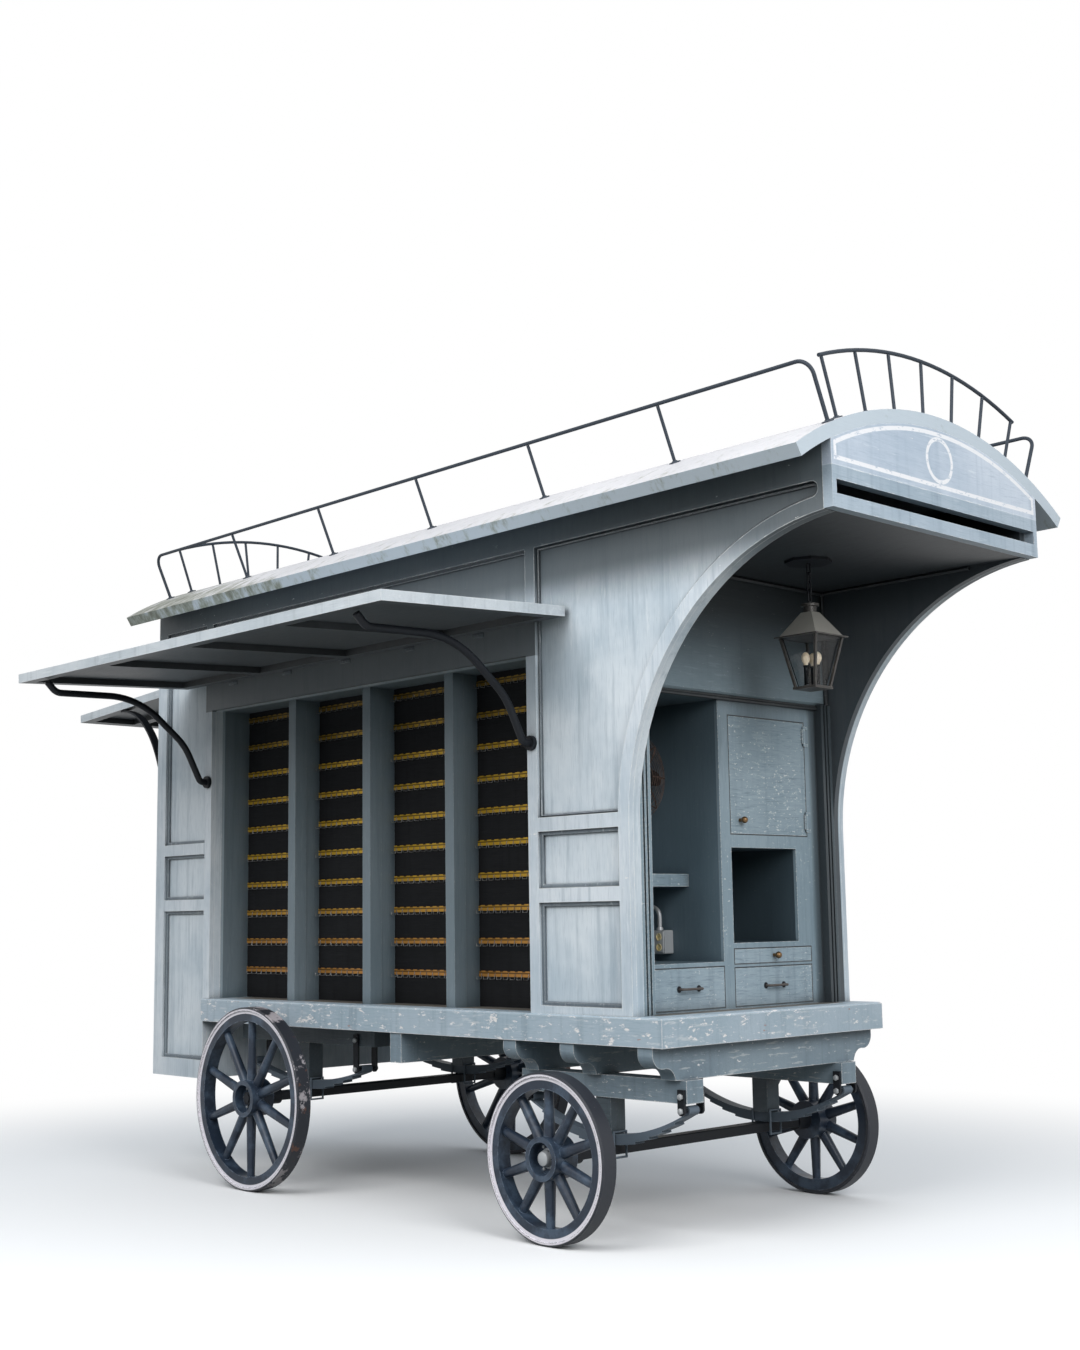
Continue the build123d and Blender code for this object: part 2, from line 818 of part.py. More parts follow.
with BuildPart() as display_dividers:
    post_front = post_recess - body_half
    post_back = post_front + post_depth
    for bay in range(1, bays):
        centre = opening_start + bay * bay_pitch
        with BuildSketch(Plane.XY.offset(deck_top)):
            field((centre - post_width / 2, centre + post_width / 2), (post_front, post_back), Mode.ADD)
            field((centre - partition_half, centre + partition_half), (post_back, back_face), Mode.ADD)
        extrude(amount=head_z - deck_top)
    block((rear_inner, rear_depth), (-post_width / 2, post_width / 2), (rear_open_low, head_z))
save(display_dividers.part, "display_dividers")

with BuildPart() as display_strips:
    for row in range(strip_rows):
        low = strip_low_z - strip_height / 2 + row * strip_pitch
        across = (low, low + strip_height)
        for bay in range(bays):
            start = opening_start + bay * bay_pitch
            end = start + bay_pitch
            if bay > 0:
                start += partition_half
            if bay + 1 < bays:
                end -= partition_half
            block((start, end), (back_face - strip_thick, back_face), across)
        for half in (-1, 1):
            edges = sorted((half * post_width / 2, half * rear_open_half))
            block((rear_depth - strip_thick, rear_depth), edges, across)
save(display_strips.part, "display_strips")

# Awnings on an inclined plane: a thin top skin on a frame with battens

def awning(plane, half, depth):
    with BuildPart() as panel:
        with BuildSketch(plane):
            with Locations((0, depth / 2)):
                Rectangle(2 * half, depth)
        extrude(amount=awning_skin)
        with BuildSketch(plane.offset(awning_skin)):
            with Locations((0, depth / 2)):
                Rectangle(2 * half, depth)
                count = awning_battens + 1
                clear = (2 * half - (count + 1) * awning_rail) / count
                with GridLocations(clear + awning_rail, 0, count, 1):
                    Rectangle(clear, depth - 2 * awning_rail, mode=Mode.SUBTRACT)
        extrude(amount=awning_thick - awning_skin)
    return panel.part


side_awning_plane = Plane(origin=(opening_mid, -awning_foot, awning_top_z), x_dir=(1, 0, 0),
                          z_dir=(0, sin(awning_drop), -cos(awning_drop)))
rear_awning_plane = Plane(origin=(-rear_foot, 0, awning_top_z), x_dir=(0, -1, 0),
                          z_dir=(sin(rear_drop), 0, -cos(rear_drop)))
save(awning(side_awning_plane, awning_half, awning_depth), "side_awning")
save(awning(rear_awning_plane, rear_awning_half, rear_awning_depth), "rear_awning")


def awning_underside(out):
    # Height of the side awning's underside at a distance out from the wall
    fall = (out + body_half - awning_foot) * tan(awning_drop)
    return awning_top_z - awning_thick / cos(awning_drop) - fall


with BuildPart() as side_awning_stays:
    # Bent iron rods from a rosette on the wall to the underside of the awning
    stay_end = awning_depth - stay_inset
    # out from the wall, up from the foot, radius of the bend
    corners = (
        (48, 0, 26),
        (140, 178, 300),
        (410, 398, 420),
        (845, 388, 60),
    )
    route = [(0, stay_foot_z)]
    route += [(out, stay_foot_z + up) for out, up, bend in corners]
    route += [(stay_end, awning_underside(stay_end) - stay_radius - seat_gap)]
    for stay_x in (opening_start - stile / 2, opening_end + stile / 2):
        plane = Plane(origin=(stay_x, -body_half, 0), x_dir=(0, -1, 0), z_dir=(-1, 0, 0))
        with BuildLine(plane) as rod:
            FilletPolyline(*route, radius=[bend for out, up, bend in corners])
        with BuildSketch(Plane(origin=rod.line @ 0, z_dir=rod.line % 0)):
            Circle(stay_radius)
        sweep(path=rod.line)
        with BuildSketch(side_plane(-1, body_half)):
            with Locations((stay_x, stay_foot_z)):
                Circle(rosette_radius)
        extrude(amount=stay_radius)
save(side_awning_stays.part, "side_awning_stays")

with BuildPart() as rear_brackets:
    # Flat bars bent to a quarter ellipse under the rear awning
    under_z = awning_top_z - awning_thick / cos(rear_drop) - (bracket_reach - rear_foot) * tan(rear_drop)
    for side in (-1, 1):
        with BuildSketch(Plane.XZ.offset(-side * bracket_half - bracket_width / 2)):
            centre = (-bracket_reach, under_z - bracket_drop - seat_gap)
            with BuildLine():
                outer_bar = EllipticalCenterArc(centre, bracket_reach, bracket_drop, arc_size=90)
                inner_bar = EllipticalCenterArc(centre, bracket_reach - bracket_thick,
                                                bracket_drop - bracket_thick, arc_size=90)
                Line(outer_bar @ 0, inner_bar @ 0)
                Line(outer_bar @ 1, inner_bar @ 1)
            make_face()
        extrude(amount=bracket_width)
save(rear_brackets.part, "rear_brackets")

# Roof rails: bent rods on posts that stand square to the vault

lean = radians(side_rail_angle)
rail_planes = []
for side in (-1, 1):
    foot = (0, side * roof_radius * sin(lean), roof_centre + roof_radius * cos(lean))
    rail_planes.append(Plane(origin=foot, x_dir=(1, 0, 0), z_dir=(0, -cos(lean), side * sin(lean))))
end_rail_places = (end_rail_front, end_rail_rear)

with BuildPart() as side_rails:
    for plane in rail_planes:
        with BuildLine(plane) as rod:
            FilletPolyline((side_rail_front, 0), (side_rail_front, rail_height_above),
                           (side_rail_rear, rail_height_above), (side_rail_rear, 0), radius=rail_bend)
        with BuildSketch(Plane(origin=rod.line @ 0, z_dir=rod.line % 0)):
            Circle(rail_rod)
        sweep(path=rod.line)
save(side_rails.part, "roof_side_rails")

with BuildPart() as end_rails:
    for rail_x in end_rail_places:
        plane = Plane(origin=(rail_x, 0, roof_centre), x_dir=(0, 1, 0), z_dir=(1, 0, 0))
        with BuildLine(plane) as rod:
            CenterArc((0, 0), roof_radius + rail_height_above, 90 - end_rail_angle, 2 * end_rail_angle)
        with BuildSketch(Plane(origin=rod.line @ 0, z_dir=rod.line % 0)):
            Circle(rail_rod)
        sweep(path=rod.line)
save(end_rails.part, "roof_end_rails")

with BuildPart() as rail_posts:
    post_height = rail_height_above - rail_rod - seat_gap
    pitch = (side_rail_front - side_rail_rear) / (side_rail_posts + 1)
    for plane in rail_planes:
        for post in range(1, side_rail_posts + 1):
            base = plane.from_local_coords((side_rail_rear + post * pitch, 0))
            with BuildSketch(Plane(origin=base, z_dir=plane.y_dir)):
                Circle(rail_post_rod)
            extrude(amount=post_height)
    for rail_x in end_rail_places:
        for post in range(end_rail_posts):
            turn = radians(end_rail_angle * post_spread * (2 * post / (end_rail_posts - 1) - 1))
            base = (rail_x, roof_radius * sin(turn), roof_centre + roof_radius * cos(turn))
            with BuildSketch(Plane(origin=base, z_dir=(0, sin(turn), cos(turn)))):
                Circle(rail_post_rod)
            extrude(amount=post_height)
save(rail_posts.part, "roof_rail_posts")

# Cabinet: case, door, drawers

with BuildPart() as cabinet_case:
    block((cabinet_back, cabinet_face), (-cabinet_half, cabinet_half), (deck_top, cabinet_top))
    inside = (cabinet_back + case_wall, cabinet_face)
    # name, near edge, far edge, bottom, top of each compartment
    compartments = (
        ("tall niche", tall_near, divider_near, tall_niche_low, tall_niche_high),
        ("left drawer", tall_near, divider_near, drawer_low, left_drawer_high),
        ("door", divider_far, door_far, door_low, door_high),
        ("open niche", divider_far, niche_far, niche_low, niche_high),
        ("small drawer", divider_far, door_far, small_drawer_low, small_drawer_high),
        ("large drawer", divider_far, door_far, drawer_low, large_drawer_high),
    )
    for name, near, far, low, high in compartments:
        block(inside, (near, far), (low, high), Mode.SUBTRACT)
save(cabinet_case.part, "cabinet_case")

hinge_x = cabinet_face + knuckle_radius
hinge_y = door_far - knuckle_radius
hinge_heights = (door_low + hinge_inset, door_high - hinge_inset)
with BuildPart() as cabinet_door:
    door_near = divider_far + front_gap
    block((cabinet_face - front_thick, cabinet_face), (door_near, door_far - front_gap),
          (door_low + front_gap, door_high - front_gap))
    for height in hinge_heights:
        with BuildSketch(Plane.XY.offset(height - knuckle_length / 2)):
            with Locations((hinge_x, hinge_y)):
                Circle(knuckle_radius)
            with Locations((hinge_x - knuckle_radius / 2, hinge_y - knuckle_radius)):
                Rectangle(knuckle_radius, 2 * knuckle_radius)
        extrude(amount=knuckle_length)
        with BuildSketch(Plane.XY.offset(height - knuckle_length / 2)):
            with Locations((hinge_x, hinge_y)):
                Circle(hinge_pin_radius + running_gap)
        extrude(amount=knuckle_length, mode=Mode.SUBTRACT)
save(cabinet_door.part, "cabinet_door")

with BuildPart() as door_hinges:
    # Pin and the leaf that screws to the cabinet's stile
    for height in hinge_heights:
        for end in (-1, 1):
            middle = height + end * (knuckle_length / 2 + seat_gap + knuckle_radius)
            with BuildSketch(Plane.XY.offset(middle - knuckle_radius)):
                with Locations((hinge_x, hinge_y)):
                    Circle(knuckle_radius)
                with Locations((cabinet_face + leaf_plate / 2, hinge_y + 2.5 * knuckle_radius)):
                    Rectangle(leaf_plate, 5 * knuckle_radius)
            extrude(amount=2 * knuckle_radius)
        with BuildSketch(Plane.XY.offset(height - knuckle_length / 2 - knuckle_radius)):
            with Locations((hinge_x, hinge_y)):
                Circle(hinge_pin_radius)
        extrude(amount=knuckle_length + 2 * knuckle_radius)
save(door_hinges.part, "door_hinges")

def knob(y, z):
    # Turned knob standing out of the cabinet's face
    with BuildPart() as turned:
        with BuildSketch(Plane.YZ.offset(cabinet_face)):
            with Locations((y, z)):
                Circle(knob_radius / 2)
        extrude(amount=knob_stem)
        with Locations((cabinet_face + knob_stem, y, z)):
            Sphere(knob_radius)
    return turned.part


save(knob(door_near + knob_inset, door_low + knob_inset), "door_knob")

# name, near edge, far edge, bottom, top, handle kind
drawers = (
    ("left_drawer", tall_near, divider_near, drawer_low, left_drawer_high, "bar"),
    ("large_drawer", divider_far, door_far, drawer_low, large_drawer_high, "bar"),
    ("small_drawer", divider_far, door_far, small_drawer_low, small_drawer_high, "knob"),
)
for name, near, far, low, high, handle in drawers:
    mid = (near + far) / 2
    mid_height = (low + high) / 2
    with BuildPart() as drawer:
        block((cabinet_face - drawer_depth, cabinet_face), (near + front_gap, far - front_gap),
              (low + seat_gap, high - front_gap))
        block((cabinet_face - drawer_depth + drawer_wall, cabinet_face - front_thick),
              (near + front_gap + drawer_wall, far - front_gap - drawer_wall),
              (low + drawer_wall, high), Mode.SUBTRACT)
        if handle == "bar":
            plane = Plane(origin=(cabinet_face, mid, mid_height), x_dir=(0, 1, 0), z_dir=(0, 0, 1))
            with BuildLine(plane) as rod:
                FilletPolyline((-pull_half, pull_rod), (-pull_half, -pull_reach), (pull_half, -pull_reach),
                               (pull_half, pull_rod), radius=2 * pull_rod)
            with BuildSketch(Plane(origin=rod.line @ 0, z_dir=rod.line % 0)):
                Circle(pull_rod)
            sweep(path=rod.line)
    save(drawer.part, name)
    if handle == "knob":
        save(knob(mid, mid_height), "small_drawer_knob")

# Shelf, socket box and fan in the tall niche, pipe in the open one

with BuildPart() as niche_shelf:
    block((cabinet_back + case_wall, shelf_front), (tall_near, divider_near),
          (shelf_low, shelf_low + shelf_thick))
save(niche_shelf.part, "niche_shelf")

with BuildPart() as socket_box:
    half_side = socket_side / 2
    block((socket_x - half_side, socket_x + half_side), (divider_near - socket_depth, divider_near),
          (socket_z - half_side, socket_z + half_side))
    fillet(socket_box.edges().filter_by(Axis.Y), socket_side / 16)
save(socket_box.part, "socket_box")

with BuildPart() as niche_pipe:
    with BuildSketch(Plane.XY.offset(niche_low)):
        with Locations((pipe_x, pipe_y)):
            Circle(pipe_radius)
    extrude(amount=niche_high - niche_low)
save(niche_pipe.part, "niche_pipe")

motor_front = fan_x - guard_depth


def grille(hole):
    # Rings and radial wires of one face of the wire guard
    for ring in range(1, guard_rings + 1):
        outer = fan_radius * ring / guard_rings
        if outer > hole:
            Circle(outer)
            Circle(outer - guard_wire, mode=Mode.SUBTRACT)
    with PolarLocations((fan_radius + hole) / 2 - guard_wire / 2, guard_spokes):
        Rectangle(fan_radius - hole, guard_wire)


with BuildPart() as fan_guard:
    # Motor on its wall bracket, shaft, and the wire guard round the blades
    with BuildSketch(Plane.YZ.offset(cabinet_back + case_wall)):
        with Locations((fan_y, fan_z)):
            Rectangle(motor_radius, 2 * motor_radius)
    extrude(amount=motor_front - motor_length - cabinet_back - case_wall)
    with BuildSketch(Plane.YZ.offset(motor_front - motor_length)):
        with Locations((fan_y, fan_z)):
            Circle(motor_radius)
    extrude(amount=motor_length)
    with BuildSketch(Plane.YZ.offset(motor_front)):
        with Locations((fan_y, fan_z)):
            Circle(shaft_radius)
    extrude(amount=shaft_length)
    with BuildSketch(Plane.YZ.offset(motor_front - guard_wire)):
        with Locations((fan_y, fan_z)):
            grille(motor_radius - guard_wire)
    extrude(amount=guard_wire)
    with BuildSketch(Plane.YZ.offset(fan_x)):
        with Locations((fan_y, fan_z)):
            grille(shaft_radius)
            Circle(fan_radius / guard_rings)
    extrude(amount=guard_wire)
    with BuildSketch(Plane.YZ.offset(motor_front)):
        with Locations((fan_y, fan_z)):
            Circle(fan_radius)
            Circle(fan_radius - guard_wire, mode=Mode.SUBTRACT)
    extrude(amount=guard_depth)
save(fan_guard.part, "fan_guard")

with BuildPart() as fan_blades:
    blade_x = motor_front + guard_depth / 2
    with BuildSketch(Plane.YZ.offset(blade_x - blade_hub_length / 2)):
        with Locations((fan_y, fan_z)):
            Circle(blade_hub_radius)
    extrude(amount=blade_hub_length)
    for blade in range(blade_count):
        turn = radians(360 * blade / blade_count)
        out = Vector(0, cos(turn), sin(turn))
        round_hub = Vector(0, -sin(turn), cos(turn))
        pitch = radians(blade_pitch)
        normal = Vector(1, 0, 0) * cos(pitch) + round_hub * sin(pitch)
        centre = Vector(blade_x, fan_y, fan_z) + out * (blade_tip_radius + blade_hub_radius - blade_root) / 2
        with BuildSketch(Plane(origin=centre, x_dir=out, z_dir=normal)):
            SlotOverall(blade_tip_radius - blade_hub_radius + blade_root, blade_chord)
        extrude(amount=blade_thick / 2, both=True)
    with BuildSketch(Plane.YZ.offset(motor_front)):
        with Locations((fan_y, fan_z)):
            Circle(shaft_radius + running_gap)
    extrude(amount=guard_depth, mode=Mode.SUBTRACT)
save(fan_blades.part, "fan_blades")

# Lantern: ceiling plate and chain, tapered frame with a flared pyramid roof, glass and candle bulbs


def lantern_plan(level, side):
    # A square of the lantern at a height
    with BuildSketch(Plane.XY.offset(level)) as plan:
        with Locations((lantern_x, 0)):
            Rectangle(side, side)
    return plan.sketch


def lantern_round(level, radius):
    # A circle of the lantern at a height
    with BuildSketch(Plane.XY.offset(level)) as plan:
        with Locations((lantern_x, 0)):
            Circle(radius)
    return plan.sketch


def chain_link(middle, half, facing):
    # An upright oval link as two halves, each a straight side and the bend it runs into
    plane = Plane(origin=(lantern_x, 0, middle), x_dir=(facing[1], facing[0], 0), z_dir=(*facing, 0))
    for side, turn in ((1, 0), (-1, 180)):
        with BuildLine(plane) as loop:
            Line((side * chain_bend, -side * half), (side * chain_bend, side * half))
            CenterArc((0, side * half), chain_bend, turn, 180)
        with BuildSketch(Plane(origin=loop.line @ 0, z_dir=loop.line % 0)) as wire:
            Circle(chain_wire)
        sweep(wire.sketch, path=loop.line)


with BuildPart() as lantern_hanger:
    plate_z = soffit_z - lantern_plate_thick
    with BuildSketch(Plane.XY.offset(plate_z)):
        with Locations((lantern_x, 0)):
            RegularPolygon(lantern_plate_radius, lantern_plate_sides)
    extrude(amount=lantern_plate_thick)
    # Each link's wire rests in the bend of the link above, and the end links run into the plate and the stud
    stud_top = lantern_cap + 2 * chain_wire
    link_pitch = (plate_z - stud_top - 2 * chain_wire + chain_lap) / chain_links
    link_half = (link_pitch + 2 * chain_wire - chain_lap) / 2 - chain_bend
    for link in range(chain_links):
        middle = plate_z - chain_bend - link_half - link * link_pitch
        chain_link(middle, link_half, ((0, -1), (1, 0))[link % 2])
    extrude(lantern_round(lantern_cap, 2 * chain_wire), amount=stud_top - lantern_cap + chain_wire)
save(lantern_hanger.part, "lantern_hanger")

with BuildPart() as lantern_frame:
    neck_foot = lantern_cap - lantern_neck_height
    eave_top = lantern_rim + lantern_eave_thick
    extrude(lantern_plan(lantern_rim, lantern_rim_side + 2 * lantern_eave), amount=lantern_eave_thick)
    loft([lantern_plan(eave_top, lantern_rim_side + lantern_bar),
          lantern_plan(neck_foot, 2 * lantern_neck_radius)])
    extrude(lantern_round(neck_foot, lantern_neck_radius), amount=lantern_neck_height - lantern_bar)
    extrude(lantern_round(lantern_cap - lantern_bar, lantern_disc_radius), amount=lantern_bar)
    extrude(lantern_plan(lantern_low, lantern_foot_side + 2 * lantern_bar), amount=lantern_bar)
    foot_half = lantern_foot_side / 2
    rim_half = lantern_rim_side / 2
    for across in (-1, 1):
        for along in (-1, 1):
            for level, half in ((lantern_low, foot_half), (lantern_rim, rim_half)):
                with BuildSketch(Plane.XY.offset(level)):
                    with Locations((lantern_x + across * half, along * half)):
                        Rectangle(lantern_bar, lantern_bar)
            loft()
save(lantern_frame.part, "lantern_frame")

with BuildPart() as lantern_candles:
    candle_foot = lantern_low + lantern_bar
    candle_ring = lantern_foot_side / 4
    candle_bulb = candle_foot + candle_height + bulb_radius / 2
    with BuildSketch(Plane.XY.offset(candle_foot)):
        with Locations((lantern_x, 0)):
            with PolarLocations(candle_ring, candle_count):
                Circle(candle_radius)
    extrude(amount=candle_height)
    with Locations((lantern_x, 0, candle_bulb)):
        with PolarLocations(candle_ring, candle_count):
            Sphere(bulb_radius)
save(lantern_candles.part, "lantern_candles")

with BuildPart() as lantern_glass:
    # Four tapered panes as one thin box standing between the corner bars
    for shrink, mode in ((0, Mode.ADD), (glass_thick, Mode.SUBTRACT)):
        for level, side in ((lantern_low + lantern_bar, lantern_foot_side), (lantern_rim, lantern_rim_side)):
            pane = side - lantern_bar - 2 * shrink
            with BuildSketch(Plane.XY.offset(level)):
                with Locations((lantern_x, 0)):
                    Rectangle(pane, pane)
        loft(mode=mode)
save(lantern_glass.part, "lantern_glass")
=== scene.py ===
import bmesh
import bpy
import math
from itertools import product
from mathutils import Matrix, Vector


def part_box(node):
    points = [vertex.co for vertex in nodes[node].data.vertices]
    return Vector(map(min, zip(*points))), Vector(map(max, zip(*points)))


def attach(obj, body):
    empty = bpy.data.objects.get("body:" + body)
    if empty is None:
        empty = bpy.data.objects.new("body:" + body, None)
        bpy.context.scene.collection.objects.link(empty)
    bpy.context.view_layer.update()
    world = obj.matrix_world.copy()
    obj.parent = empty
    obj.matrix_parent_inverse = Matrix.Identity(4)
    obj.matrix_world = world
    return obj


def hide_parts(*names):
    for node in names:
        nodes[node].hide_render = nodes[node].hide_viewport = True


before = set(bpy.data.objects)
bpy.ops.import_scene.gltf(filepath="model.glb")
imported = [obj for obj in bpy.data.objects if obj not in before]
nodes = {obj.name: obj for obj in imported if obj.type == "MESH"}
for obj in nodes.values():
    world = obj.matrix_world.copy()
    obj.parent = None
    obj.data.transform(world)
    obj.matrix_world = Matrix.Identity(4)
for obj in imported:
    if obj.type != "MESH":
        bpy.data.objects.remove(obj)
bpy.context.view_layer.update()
print("frame loaded with", len(nodes), "nodes")

scene = bpy.context.scene
scene.view_settings.view_transform = "Standard"

# datum of the body: rear wall, middle plane, ground
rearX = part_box("rear_frame")[0][0]
midY = (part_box("roof")[0][1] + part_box("roof")[1][1]) / 2


def at(x, y, z):
    return Vector((rearX + x, midY + y, z))


# camera
cameraPlace = {
    "spot": (7.8519, -5.3977, 1.2203),
    "yaw": 0.8078,
    "pitch": 0.1404,
    "roll": -0.0151,
    "lens": 45.53,
}


def addCamera(place):
    yaw, pitch, roll = place["yaw"], place["pitch"], place["roll"]
    ahead = Vector((-math.sin(yaw) * math.cos(pitch), math.cos(yaw) * math.cos(pitch), math.sin(pitch)))
    right = Vector((math.cos(yaw), math.sin(yaw), 0))
    up = right.cross(ahead)
    rightRolled = right * math.cos(roll) + up * math.sin(roll)
    upRolled = up * math.cos(roll) - right * math.sin(roll)
    turn = Matrix((rightRolled, upRolled, -ahead)).transposed().to_4x4()
    bpy.ops.object.camera_add()
    camera = bpy.context.object
    camera.matrix_world = Matrix.Translation(at(*place["spot"])) @ turn
    camera.data.lens = place["lens"]
    camera.data.sensor_width = 36
    camera.data.clip_end = 100
    scene.camera = camera


addCamera(cameraPlace)
print("camera set")


def tone(red, green, blue):
    # screen values 0 to 255 as linear light
    linear = []
    for part in (red, green, blue):
        share = part / 255
        linear.append(share / 12.92 if share <= 0.04045 else ((share + 0.055) / 1.055) ** 2.4)
    return (*linear, 1)


def fill(tree, sockets, values):
    # links what comes from another node and sets the rest
    for label, value in values.items():
        if isinstance(value, bpy.types.NodeSocket):
            tree.links.new(value, sockets[label])
        else:
            sockets[label].default_value = value


def addNode(tree, kind, values, **settings):
    node = tree.nodes.new("ShaderNode" + kind)
    for name, setting in settings.items():
        setattr(node, name, setting)
    fill(tree, node.inputs, values)
    return node


def calc(tree, operation, first, second=0.0, third=0.0):
    return addNode(tree, "Math", {0: first, 1: second, 2: third}, operation=operation).outputs[0]


def times(tree, first, second):
    return calc(tree, "MULTIPLY", first, second)


def minus(tree, first, second):
    return calc(tree, "SUBTRACT", first, second)


def inverse(tree, share):
    return minus(tree, 1.0, share)


def distance(tree, first, second):
    # length of the two sides taken together
    return calc(tree, "SQRT", calc(tree, "MULTIPLY_ADD", first, first, times(tree, second, second)))


def objectCoords(tree):
    return addNode(tree, "TexCoord", {}).outputs["Object"]


def blendTone(tree, share, first, second):
    return addNode(tree, "Mix", {0: share, 6: first, 7: second}, data_type="RGBA").outputs[2]


def ramp(tree, value, low, high):
    # 0 below low, 1 above high, smooth between
    values = {0: value, 1: low, 2: high}
    return addNode(tree, "MapRange", values, interpolation_type="SMOOTHSTEP").outputs[0]


def cloud(tree, vector, scale, detail=4.0, rough=0.55):
    values = {"Vector": vector, "Scale": scale, "Detail": detail, "Roughness": rough}
    return addNode(tree, "TexNoise", values).outputs["Fac"]


def stretched(tree, vector, scale):
    return addNode(tree, "Mapping", {"Vector": vector, "Scale": scale}).outputs[0]


def newGroup(name, inputs, outputs):
    group = bpy.data.node_groups.new(name, "ShaderNodeTree")
    for label, kind, start in inputs:
        socket = group.interface.new_socket(label, in_out="INPUT", socket_type=kind)
        socket.default_value = start
    for label in outputs:
        group.interface.new_socket(label, in_out="OUTPUT", socket_type="NodeSocketFloat")
    return group, group.nodes.new("NodeGroupInput").outputs, group.nodes.new("NodeGroupOutput").inputs


def edgeMask(tree, width, low, high):
    # how far the rounded normal leaves the flat one near an edge
    rounded = addNode(tree, "Bevel", {"Radius": width}, samples=4).outputs[0]
    flat = addNode(tree, "NewGeometry", {}).outputs["True Normal"]
    facing = addNode(tree, "VectorMath", {0: rounded, 1: flat}, operation="DOT_PRODUCT").outputs["Value"]
    return ramp(tree, inverse(tree, facing), low, high)


def makePaintAge():
    # clouding, rain streaks, chips that gather on the edges, and the edge mask itself
    group, given, result = newGroup("paintAge", (
        ("Chip Amount", "NodeSocketFloat", 0.3),
        ("Chip Scale", "NodeSocketFloat", 18.0),
        ("Edge Width", "NodeSocketFloat", 0.006),
        ("Scuff Stretch", "NodeSocketVector", (3.0, 3.0, 34.0)),
    ), ("Patch", "Streak", "Chip", "Edge", "Shade And Grime", "Scuff"))
    coords = objectCoords(group)
    edge = edgeMask(group, given["Edge Width"], 0.02, 0.22)
    flakes = cloud(group, stretched(group, coords, (1.0, 1.0, 2.6)), given["Chip Scale"], 10.0, 0.72)
    gather = cloud(group, coords, 2.3, 3.0)
    lift = calc(group, "MULTIPLY_ADD", edge, 0.17, flakes)
    lift = calc(group, "MULTIPLY_ADD", gather, 0.16, lift)
    bar = minus(group, 0.86, times(group, given["Chip Amount"], 0.3))
    group.links.new(ramp(group, lift, bar, calc(group, "ADD", bar, 0.014)), result["Chip"])
    group.links.new(cloud(group, coords, 1.4, 5.0, 0.6), result["Patch"])
    group.links.new(cloud(group, stretched(group, coords, (9.0, 9.0, 0.5)), 3.0, 5.0, 0.6), result["Streak"])
    group.links.new(edge, result["Edge"])
    rub = cloud(group, stretched(group, coords, given["Scuff Stretch"]), 2.2, 6.0, 0.7)
    group.links.new(ramp(group, calc(group, "MULTIPLY_ADD", gather, 0.22, rub), 0.69, 0.76), result["Scuff"])
    # painted shade: ambient occlusion darkens corners and recesses, clouded so that it also reads as dirt
    paintedShade = addNode(group, "AmbientOcclusion", {"Distance": 0.09}, samples=6).outputs["AO"]
    corner = inverse(group, ramp(group, paintedShade, 0.3, 0.85))
    group.links.new(times(group, corner, ramp(group, gather, 0.2, 0.6)), result["Shade And Grime"])
    return group


def makeBoardGrain():
    # fine brush marks and timber grain along the least stretched axis
    group, given, result = newGroup("boardGrain", (
        ("Stretch", "NodeSocketVector", (40.0, 40.0, 2.0)),
    ), ("Grain", "Fine"))
    coords = objectCoords(group)
    along = stretched(group, coords, given["Stretch"])
    group.links.new(cloud(group, along, 1.6, 6.0, 0.65), result["Grain"])
    group.links.new(cloud(group, along, 7.0, 3.0, 0.6), result["Fine"])
    return group


def makeIronRub():
    # rubbed edges, rust freckles and small dents
    group, given, result = newGroup("ironRub", (
        ("Rust", "NodeSocketFloat", 0.3),
        ("Edge Width", "NodeSocketFloat", 0.004),
    ), ("Rub", "Rust", "Dent"))
    coords = objectCoords(group)
    edge = edgeMask(group, given["Edge Width"], 0.03, 0.3)
    scuff = cloud(group, coords, 30.0, 6.0, 0.65)
    group.links.new(times(group, edge, ramp(group, scuff, 0.42, 0.62)), result["Rub"])
    freckle = cloud(group, coords, 22.0, 8.0, 0.7)
    bar = minus(group, 0.78, times(group, given["Rust"], 0.3))
    group.links.new(ramp(group, freckle, bar, calc(group, "ADD", bar, 0.12)), result["Rust"])
    group.links.new(cloud(group, coords, 60.0, 3.0), result["Dent"])
    return group


paintAge = makePaintAge()
boardGrain = makeBoardGrain()
ironRub = makeIronRub()


def place(tree, group, values):
    return addNode(tree, "Group", values, node_tree=group).outputs


def bareMaterial(name):
    material = bpy.data.materials.new(name)
    material.use_nodes = True
    tree = material.node_tree
    return material, tree, tree.nodes["Principled BSDF"]


def bumpInto(tree, shader, height, strength, depth):
    bump = addNode(tree, "Bump", {"Strength": strength, "Distance": depth, "Height": height})
    tree.links.new(bump.outputs[0], shader.inputs["Normal"])


def objectAxes(tree, centre=(0, 0, 0)):
    # Object coordinates measured from a centre, as three values
    back = [-part for part in centre]
    shifted = addNode(tree, "Mapping", {"Vector": objectCoords(tree), "Location": back}).outputs[0]
    return addNode(tree, "SeparateXYZ", {0: shifted}).outputs


def band(tree, value, low, high, soft):
    # 1 between low and high
    rise = ramp(tree, value, low - soft, low + soft)
    fall = ramp(tree, value, high - soft, high + soft)
    return minus(tree, rise, fall)


def paintOver(material, mask, colour, share=1.0):
    # lays a mark between the finished colour and the shader
    tree = material.node_tree
    socket = tree.nodes["Principled BSDF"].inputs["Base Color"]
    under = socket.links[0].from_socket
    strength = times(tree, mask, share)
    tree.links.new(blendTone(tree, strength, under, tone(*colour)), socket)


def upwardness(tree):
    # how far the surface faces up, from -1 to 1
    normal = addNode(tree, "NewGeometry", {}).outputs["True Normal"]
    return addNode(tree, "SeparateXYZ", {0: normal}).outputs[2]


